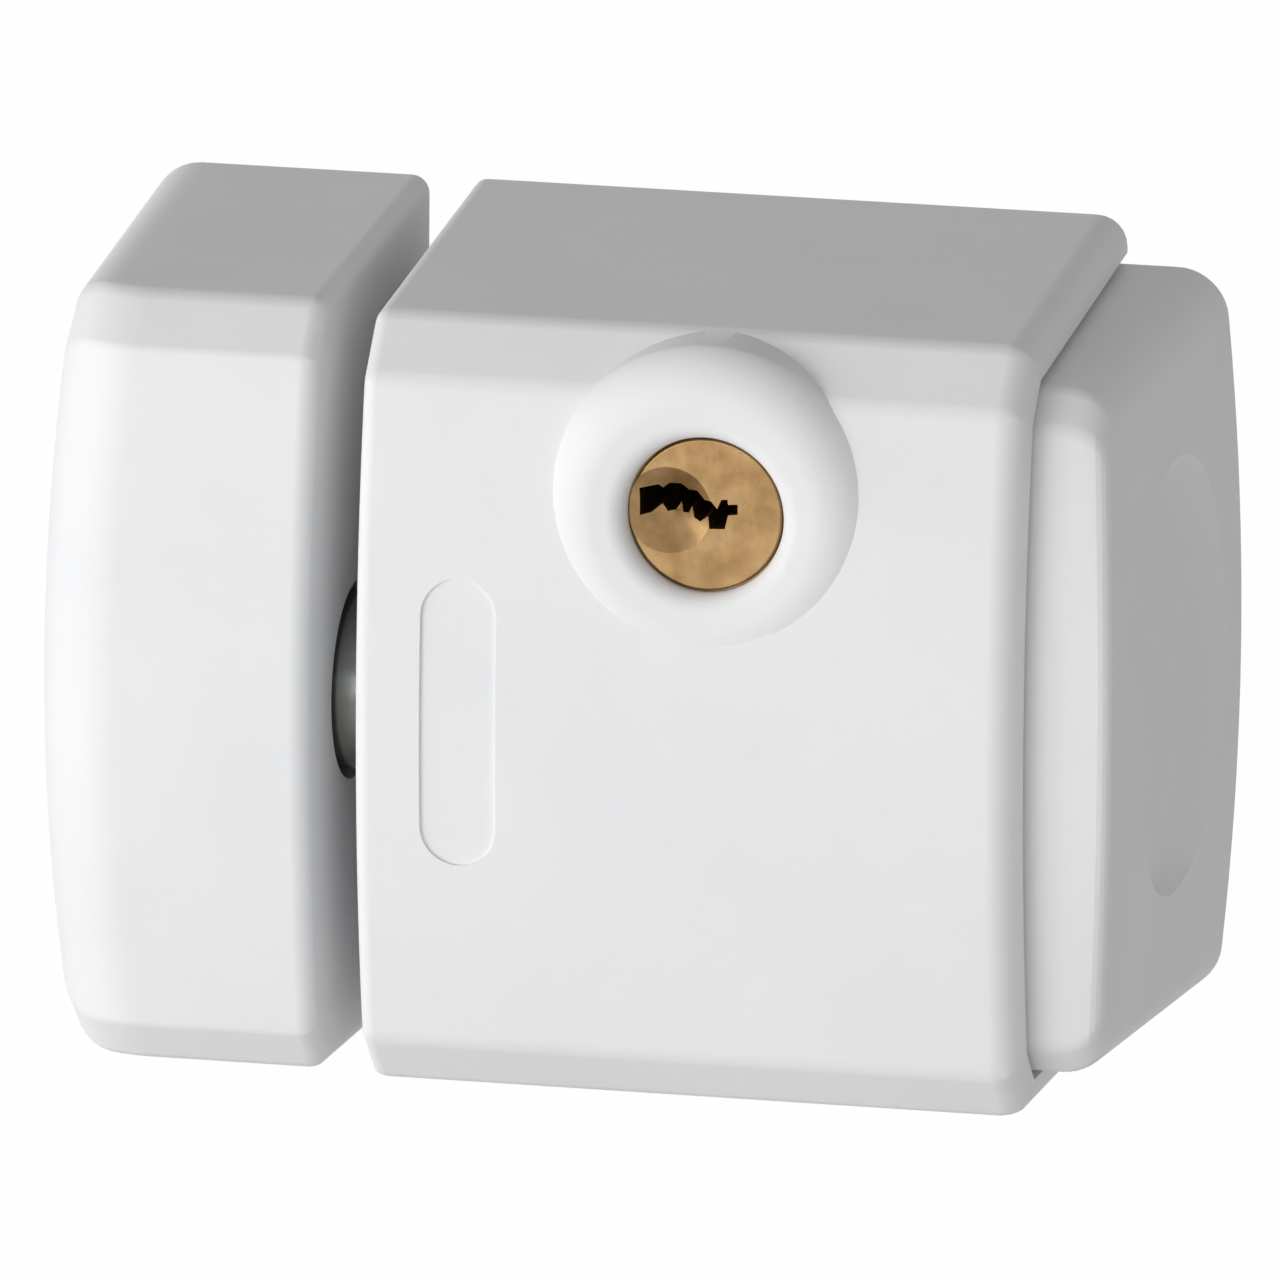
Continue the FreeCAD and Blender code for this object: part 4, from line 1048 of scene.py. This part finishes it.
class GroupBoard(Board):
    """A node group with named inputs and outputs.

    Attributes:
        given: The group's inputs, as sockets to link from.
        place: Object coordinates.
    """

    def __init__(self, name: str, inputs: dict[str, str], outputs: Sequence[str]) -> None:
        """Starts the group.

        Args:
            name: The group's name.
            inputs: Name of each input, with Float or Vector.
            outputs: Name of each output.
        """
        super().__init__(bpy.data.node_groups.new(name, "ShaderNodeTree"))
        for label, kind in inputs.items():
            self.tree.interface.new_socket(label, in_out="INPUT", socket_type=f"NodeSocket{kind}")
        for label in outputs:
            self.tree.interface.new_socket(label, in_out="OUTPUT", socket_type="NodeSocketFloat")
        self.given = self.add("NodeGroupInput").outputs
        self.place = self.add("ShaderNodeTexCoord").outputs["Object"]


def blank_material(name: str) -> tuple[Material, Board, bpy.types.Node]:
    """Starts a material with a plain shader.

    Args:
        name: The material's name.

    Returns:
        The material, its board and its shader.
    """
    made = bpy.data.materials.new(name)
    made.use_nodes = True
    return made, Board(made.node_tree), made.node_tree.nodes["Principled BSDF"]


def marks_group() -> bpy.types.NodeTree:
    """Small scattered marks, as a mask that is 0 in a mark and 1 on the clean surface."""
    board = GroupBoard("marks", {"Scale": "Float", "Size": "Float"}, ["Clean"])
    size = board.given["Size"]
    cells = board.add("ShaderNodeTexVoronoi", Vector=board.place, Scale=board.given["Scale"])
    core = board.combine("MULTIPLY", size, 0.4)
    dots = board.add("ShaderNodeMapRange", Value=cells.outputs["Distance"], From_Min=core, From_Max=size)
    field = board.add("ShaderNodeTexNoise", Vector=board.place, Scale=330.0, Detail=2.0)
    spared = board.add("ShaderNodeMapRange", Value=field.outputs["Fac"], From_Min=0.6, From_Max=0.5)
    clean = board.combine("MAXIMUM", dots.outputs["Result"], spared.outputs["Result"])
    board.add("NodeGroupOutput", Clean=clean)
    return board.tree


def mottle_group() -> bpy.types.NodeTree:
    """Soft and fine variation over a surface, as a mask and a height."""
    inputs = {"Coarse": "Float", "Fine": "Float", "Stretch": "Vector"}
    board = GroupBoard("mottle", inputs, ["Mask", "Height"])
    given = board.given
    coarse = board.add("ShaderNodeTexNoise", Vector=board.place, Scale=given["Coarse"], Detail=4.0)
    pulled = board.add("ShaderNodeVectorMath", {"operation": "MULTIPLY"})
    board.feed(pulled.inputs[0], board.place)
    board.feed(pulled.inputs[1], given["Stretch"])
    fine = board.add("ShaderNodeTexNoise", Vector=pulled.outputs["Vector"], Scale=given["Fine"], Detail=3.0)
    board.add("NodeGroupOutput", Mask=coarse.outputs["Fac"], Height=fine.outputs["Fac"])
    return board.tree


@dataclass(frozen=True)
class Finish:
    """A finish whose colour, gloss and fine relief vary over the surface.

    Attributes:
        name: Its name.
        low: Colour where the variation is lowest.
        high: Colour where it is highest.
        metal: 1 for bare metal, 0 otherwise.
        gloss: Lowest and highest roughness.
        coarse: Scale of the soft variation, per metre.
        fine: Scale of the fine relief, per metre.
        stretch: How the fine relief is drawn out along X, Y and Z.
        relief: Height of the fine relief in millimetres.
        strength: Strength of the fine relief.
        marks: Scale of the small marks, per metre, and their size.
        mark: Colour of the small marks.
        sheen: Strength of the surface's own reflection.
    """

    name: str
    low: Point
    high: Point
    metal: float
    gloss: Flat
    coarse: float
    fine: float
    stretch: Point
    relief: float
    strength: float
    marks: Flat
    mark: Point
    sheen: float = 0.5

    def build(self, mottle: bpy.types.NodeTree, marks: bpy.types.NodeTree) -> Material:
        """Builds the material.

        Args:
            mottle: The shared variation.
            marks: The shared small marks.

        Returns:
            The material.
        """
        made, board, shader = blank_material(self.name)
        varied = board.add("ShaderNodeGroup", {"node_tree": mottle}, Coarse=self.coarse, Fine=self.fine,
                           Stretch=self.stretch)
        marked = board.add("ShaderNodeGroup", {"node_tree": marks}, Scale=self.marks[0], Size=self.marks[1])
        tone = board.combine("MULTIPLY", varied.outputs["Mask"], marked.outputs["Clean"])
        colour = board.ramp(tone, {0.0: self.mark, 0.36: self.low, 0.64: self.high})
        rough = board.add("ShaderNodeMapRange", Value=varied.outputs["Height"], From_Min=0.3, From_Max=0.7,
                          To_Min=self.gloss[0], To_Max=self.gloss[1])
        bump = board.add("ShaderNodeBump", Strength=self.strength, Distance=self.relief * MM,
                         Height=varied.outputs["Height"])
        for label, given in (("Base Color", colour), ("Roughness", rough.outputs["Result"]),
                             ("Normal", bump.outputs["Normal"]), ("Metallic", self.metal),
                             ("Specular IOR Level", self.sheen)):
            board.feed(shader.inputs[label], given)
        return made


# Each in the order of the attributes above
FINISHES = {
    "white_shell": Finish("moulded_white", (0.845, 0.85, 0.86), (0.87, 0.872, 0.876), 0, (0.52, 0.60), 60,
                          2600, (1, 1, 1), 0.02, 0.12, (500, 0.03), (0.8, 0.8, 0.8), 0.3),
    "light_casting": Finish("light_casting", (0.40, 0.41, 0.42), (0.56, 0.57, 0.58), 0.85, (0.42, 0.62), 120,
                            2400, (1, 1, 1), 0.06, 0.5, (700, 0.16), (0.3, 0.3, 0.3)),
    "bolt_steel": Finish("ground_steel", (0.23, 0.24, 0.23), (0.34, 0.34, 0.31), 1, (0.17, 0.24), 120,
                         1400, (0.06, 1, 1), 0.01, 0.12, (900, 0.08), (0.16, 0.15, 0.14)),
    "plated_steel": Finish("plated_steel", (0.6, 0.61, 0.64), (0.74, 0.74, 0.72), 1, (0.2, 0.36), 200,
                           2600, (1, 1, 1), 0.01, 0.2, (900, 0.14), (0.4, 0.4, 0.38)),
    "spring_steel": Finish("spring_steel", (0.22, 0.22, 0.23), (0.34, 0.33, 0.33), 1, (0.28, 0.4), 150,
                           2000, (1, 1, 1), 0.01, 0.2, (900, 0.12), (0.12, 0.12, 0.12)),
    "brass": Finish("turned_brass", (0.265, 0.16, 0.068), (0.37, 0.235, 0.11), 1, (0.28, 0.38), 420,
                    2200, (1, 1, 0.3), 0.02, 0.3, (2600, 0.15), (0.18, 0.115, 0.05)),
}


# Studio: camera, lamps, world and floor
@dataclass(frozen=True)
class Studio:
    """Camera at the photograph's angle, soft lamps and a white surround.

    Attributes:
        azimuth: Degrees that the camera stands round to the right.
        elevation: Degrees that it stands above.
        roll: Degrees that it is rolled.
        target: What it looks at, in millimetres.
        distance: How far it stands, in millimetres.
        field: Width of the view at the target, in millimetres.
        floor_z: Height of the floor, in millimetres.
        floor_grey: Brightness of the floor as it takes light.
        floor_white: Share of plain white in the floor where it is seen.
        surround: Strength of the surround as light.
        lamps: Name, way from the lock, width in metres and power in watts of each lamp.
    """

    azimuth: float = 12.212
    elevation: float = 14.892
    roll: float = 0.339
    target: Point = (-12.507, 0.0, -3.8)
    distance: float = 2308.6
    field: float = 100.0
    floor_z: float = -120.0
    floor_grey: float = 0.86
    floor_white: float = 0.99
    surround: float = 0.27
    lamps: Sequence[tuple[str, Point, float, float]] = (
        ("left_high", (-1.0, -0.15, 0.25), 0.4, 1.5),
        ("left", (-0.86, -0.5, 0.16), 0.4, 0.9),
        ("left_front", (-0.55, -0.83, 0.0), 0.7, 5.5),
        ("front", (0.1, -1.0, 0.0), 0.9, 2.4),
        ("right", (1.0, -0.2, 0.0), 0.8, 0.85),
    )

    def camera(self) -> None:
        """Sets up the camera."""
        side, rise, roll = (math.radians(angle) for angle in (self.azimuth, self.elevation, self.roll))
        right = Vector((math.cos(side), math.sin(side), 0))
        back = Vector((math.sin(side) * math.cos(rise), -math.cos(side) * math.cos(rise), math.sin(rise)))
        up = back.cross(right)
        rolled_right = right * math.cos(roll) + up * math.sin(roll)
        rolled_up = up * math.cos(roll) - right * math.sin(roll)
        lens = bpy.data.cameras.new("camera")
        lens.sensor_width = 36.0
        lens.lens = lens.sensor_width * self.distance / self.field
        lens.clip_start = 0.1
        lens.clip_end = 50.0
        camera = bpy.data.objects.new("camera", lens)
        place = (Vector(self.target) + back * self.distance) * MM
        camera.matrix_world = Matrix((rolled_right, rolled_up, back)).transposed().to_4x4()
        camera.location = place
        bpy.context.scene.collection.objects.link(camera)
        bpy.context.scene.camera = camera

    def lamp(self, name: str, way: Point, size: float, power: float) -> None:
        """Hangs an area lamp one metre from the lock.

        Args:
            name: The lamp's name.
            way: From the lock towards the lamp.
            size: Its width in metres.
            power: Its power in watts.
        """
        light = bpy.data.lights.new(name, "AREA")
        light.shape = "DISK"
        light.size = size
        light.energy = power
        lamp = bpy.data.objects.new(name, light)
        towards = Vector(way).normalized()
        lamp.rotation_euler = towards.to_track_quat("Z", "Y").to_euler()
        lamp.location = towards + Vector(self.target) * MM
        bpy.context.scene.collection.objects.link(lamp)

    def seen(self, board: Board) -> Socket:
        """Wires whether a ray comes from the camera, a reflection or a refraction.

        Args:
            board: The board to wire on.

        Returns:
            1 where it does.
        """
        path = board.add("ShaderNodeLightPath").outputs
        mirrored = board.combine("MAXIMUM", path["Is Camera Ray"], path["Is Glossy Ray"])
        return board.combine("MAXIMUM", mirrored, path["Is Transmission Ray"])

    def world(self) -> None:
        """Sets the world: white where it is seen, dimmer as light."""
        world = bpy.data.worlds.new("studio")
        world.use_nodes = True
        board = Board(world.node_tree)
        strength = board.add("ShaderNodeMapRange", Value=self.seen(board), To_Min=self.surround, To_Max=1.0)
        sky = world.node_tree.nodes["Background"]
        board.feed(sky.inputs["Color"], (1, 1, 1, 1))
        board.feed(sky.inputs["Strength"], strength.outputs["Result"])
        bpy.context.scene.world = world

    def floor(self) -> None:
        """Lays the pale floor, which shows white and keeps a soft shadow."""
        bpy.ops.object.select_all(action="DESELECT")
        bpy.ops.mesh.primitive_plane_add(size=12, location=(0, 0, self.floor_z * MM))
        floor = bpy.context.object
        floor.name = "floor"
        made, board, shader = blank_material("pale_floor")
        board.feed(shader.inputs["Base Color"], (self.floor_grey, self.floor_grey, self.floor_grey, 1))
        board.feed(shader.inputs["Roughness"], 0.9)
        white = board.add("ShaderNodeEmission", Color=(1, 1, 1, 1), Strength=1.0)
        share = board.combine("MULTIPLY", self.seen(board), self.floor_white)
        mix = board.add("ShaderNodeMixShader", Fac=share)
        board.feed(mix.inputs[1], shader.outputs["BSDF"])
        board.feed(mix.inputs[2], white.outputs["Emission"])
        board.feed(board.tree.nodes["Material Output"].inputs["Surface"], mix.outputs["Shader"])
        floor.data.materials.append(made)

    def build(self) -> None:
        """Sets up the whole studio."""
        self.camera()
        self.world()
        self.floor()
        for lamp in self.lamps:
            self.lamp(*lamp)
        bpy.context.scene.view_settings.view_transform = "Standard"


def main() -> None:
    """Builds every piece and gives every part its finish."""
    logging.basicConfig(level=logging.INFO, format="%(name)s: %(message)s")
    mottle, marks = mottle_group(), marks_group()
    finishes = {slot: finish.build(mottle, marks) for slot, finish in FINISHES.items()}
    for part in frame["record"]["subparts"]:
        mesh = frame["nodes"][part["node"]].data
        mesh.materials.clear()
        mesh.materials.append(finishes[part["material_slot"]])
    LockCase().build(finishes["white_shell"])
    PushButton().build(finishes["white_shell"])
    StrikeBox().build(finishes["white_shell"])
    Bolt().build(finishes["bolt_steel"])
    KeyPlug().build(finishes["brass"])
    Studio().build()


if __name__ == "__main__":
    main()
